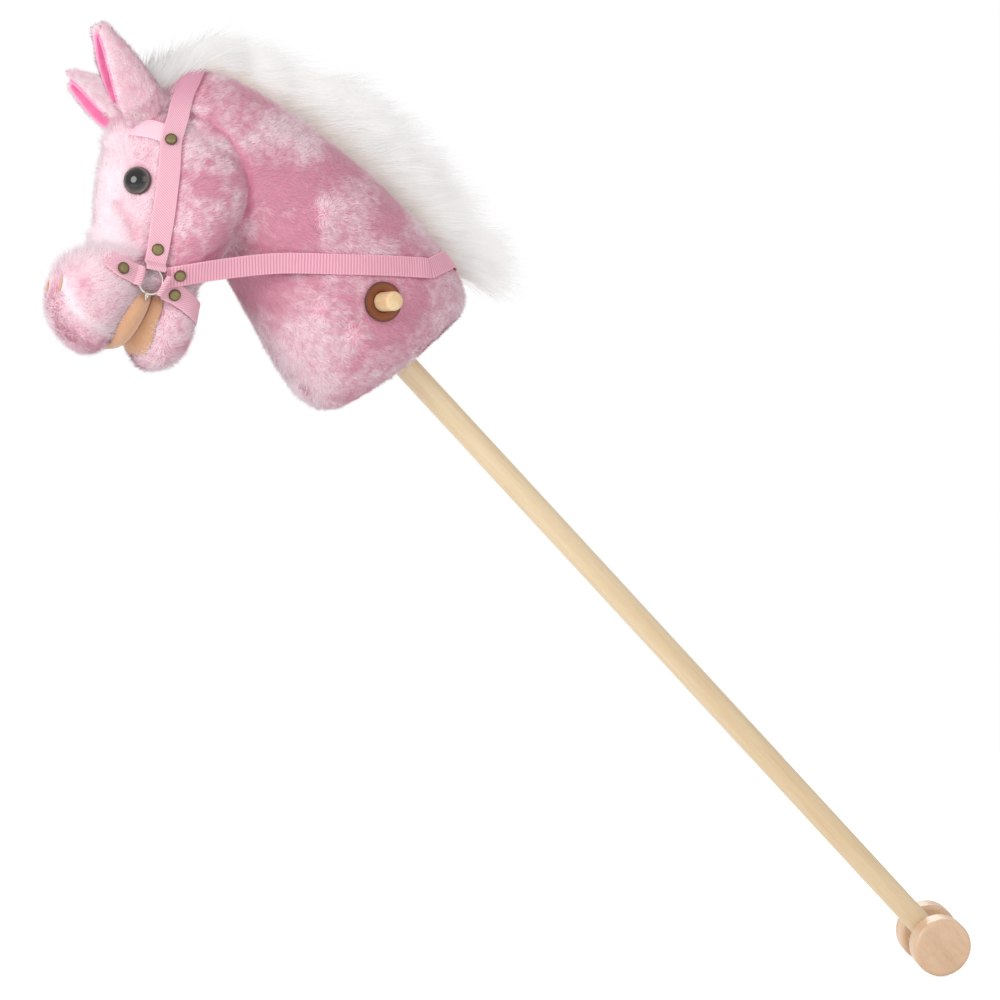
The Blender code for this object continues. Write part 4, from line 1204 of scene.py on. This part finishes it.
def leatherFinish():
    # brown leather, burnished dark at its edge, with painted shadow round the hole
    finish = Finish("brownLeather", Roughness=0.5, Specular_IOR_Level=0.35)
    spot = finish.place()
    rim = finish.kept("rim")
    grain = finish.noise(spot, 1500, 3, 0.6)
    blotch = finish.noise(spot, 90, 3)
    brown = finish.mix(blotch, (0.17, 0.05, 0.018), (0.28, 0.09, 0.035))
    # dark round the hole is painted shadow, dark at the edge is the burnished edge
    dark = finish.ramp(rim + grain * 0.05, (0.50, (1, 1, 1)), (0.62, (0, 0, 0)), (0.88, (0, 0, 0)), (0.99, (1, 1, 1)))
    finish.feed("Base_Color", finish.mix(dark * 0.75, brown, (0.07, 0.02, 0.008)))
    finish.bump(grain, 0.0003, 0.5)
    return finish


def discProfile(radius, deep):
    # a dished top, a rolled edge and a hole
    hole, dish = discSize["hole"], discSize["dish"]
    return [(hole, -deep), (hole, -dish), (hole + 1.2 * mm, -dish * 0.85), (radius * 0.72, -dish * 0.35),
            (radius * 0.88, -0.1 * mm), (radius * 0.96, 0), (radius, -0.5 * mm), (radius, -discSize["thickness"]),
            (radius * 0.9, -deep), (hole, -deep)]


leather = leatherFinish()
for side in sides:
    turnedPiece("leatherDisc_" + side, "grip_disc_" + side, discProfile, discSize["steps"], leather)
print("eyes and discs set")

# linings of ears and lips, and nostrils


def clothFinish(name, dark, light, folds, nap, share, relief, **surface):
    # cloth with soft folds and a fine nap, each a scale and a detail; relief is of its folds or its nap
    finish = Finish(name, **surface)
    spot = finish.place()
    parts = {"folds": finish.noise(spot, *folds), "nap": finish.noise(spot, *nap)}
    finish.feed("Base_Color", finish.mix(parts["folds"] * share + parts["nap"] * (1 - share), dark, light))
    finish.bump(parts[relief[0]], *relief[1:])
    return finish


satin = clothFinish("pinkSatin", (0.80, 0.14, 0.34), (0.97, 0.36, 0.60), (75, 2), (1400, 2), 0.8,
                    ("folds", 0.0025, 0.6), Roughness=0.42, Sheen_Weight=0.3, Sheen_Roughness=0.3,
                    Specular_IOR_Level=0.45)
suede = clothFinish("tanSuede", (0.54, 0.27, 0.145), (0.70, 0.42, 0.255), (45, 2), (1200, 3), 0.7,
                    ("nap", 0.0003, 0.4), Roughness=0.9, Sheen_Weight=0.35, Sheen_Roughness=0.6,
                    Specular_IOR_Level=0.15)
liningSize = {"grow": 1.5 * mm, "voxel": 0.6 * mm, "rounds": 6}
lipSize = {"plump": 0.3 * mm, "voxel": 0.9 * mm, "rounds": 6, "clearOfRing": 14 * mm, "drawn": 0.6}
for side in sides:
    node = nodeMesh("ear_lining_" + side, grow=liningSize["grow"])
    lining = remeshed(node, liningSize["voxel"], liningSize["rounds"])
    finished("satinLining_" + side, lining, satin, ("ear_lining_" + side,))
    finished("nostrilPatch_" + side, rounded(nodeMesh("nostril_" + side)), suede, ("nostril_" + side,))
for name in ("upper_lip_lining", "lower_lip_lining"):
    mesh = remeshed(nodeMesh(name, grow=lipSize["plump"]), lipSize["voxel"], lipSize["rounds"], lipSize["plump"])
    for vertex in mesh.vertices:
        # its end lies under the fur beside the ring, on both sides
        near = max(0.0, lipSize["clearOfRing"] - (nearSide(vertex.co) - ringAt).length)
        vertex.co.y -= math.copysign(near * lipSize["drawn"], vertex.co.y)
    finished(name.split("_")[0] + "LipSuede", mesh, suede, (name,))
print("linings sewn")

# floor and light

stage = {"floor": 24, "below": 0.5 * mm, "glow": 0.52, "sky": 0.68}
# each lamp's name, place, size and power
lamps = (("keyLamp", (-2.7, -1.2, 0.8), 1.6, 46), ("fillLamp", (0.0, -2.7, 0.9), 1.8, 13),
         ("backLamp", (1.0, 2.2, 1.2), 1.6, 22))


def seenPlainly(tree):
    # 1 where the camera sees it straight, in a gloss or through a glass
    path = tree.tree.nodes.new("ShaderNodeLightPath")
    return sum(Value(tree, path.outputs["Is %s Ray" % kind]) for kind in ("Camera", "Glossy", "Transmission"))


def makeStage():
    bpy.context.view_layer.update()
    bpy.ops.mesh.primitive_plane_add(size=stage["floor"], location=(0, 0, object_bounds()[0][2] - stage["below"]))
    floor = bpy.context.object
    floor.name = "floor"
    paint = Finish("floorPaint", Base_Color=(0.9, 0.9, 0.9), Roughness=0.9, Emission_Color=(1, 1, 1))
    paint.feed("Emission_Strength", seenPlainly(paint) * stage["glow"])
    floor.data.materials.append(paint.material)
    scene.world = bpy.data.worlds.new("studio")
    scene.world.use_nodes = True
    sky = Tree(scene.world.node_tree)
    back = sky.tree.nodes["Background"]
    sky.set(back.inputs["Color"], (1.0, 1.0, 1.0))
    seen = seenPlainly(sky).maths("MINIMUM", 1)
    sky.set(back.inputs["Strength"], seen * (1 - stage["sky"]) + stage["sky"])
    for name, spot, size, power in lamps:
        lamp = bpy.data.lights.new(name, "AREA")
        lamp.energy = power
        lamp.shape = "DISK"
        lamp.size = size
        pointed(put(name, lamp), spot, [-v for v in spot])


makeStage()
for thing in (shortStrand, longStrand, rivetCap):
    bpy.data.objects.remove(thing)
scene.view_settings.view_transform = "Standard"
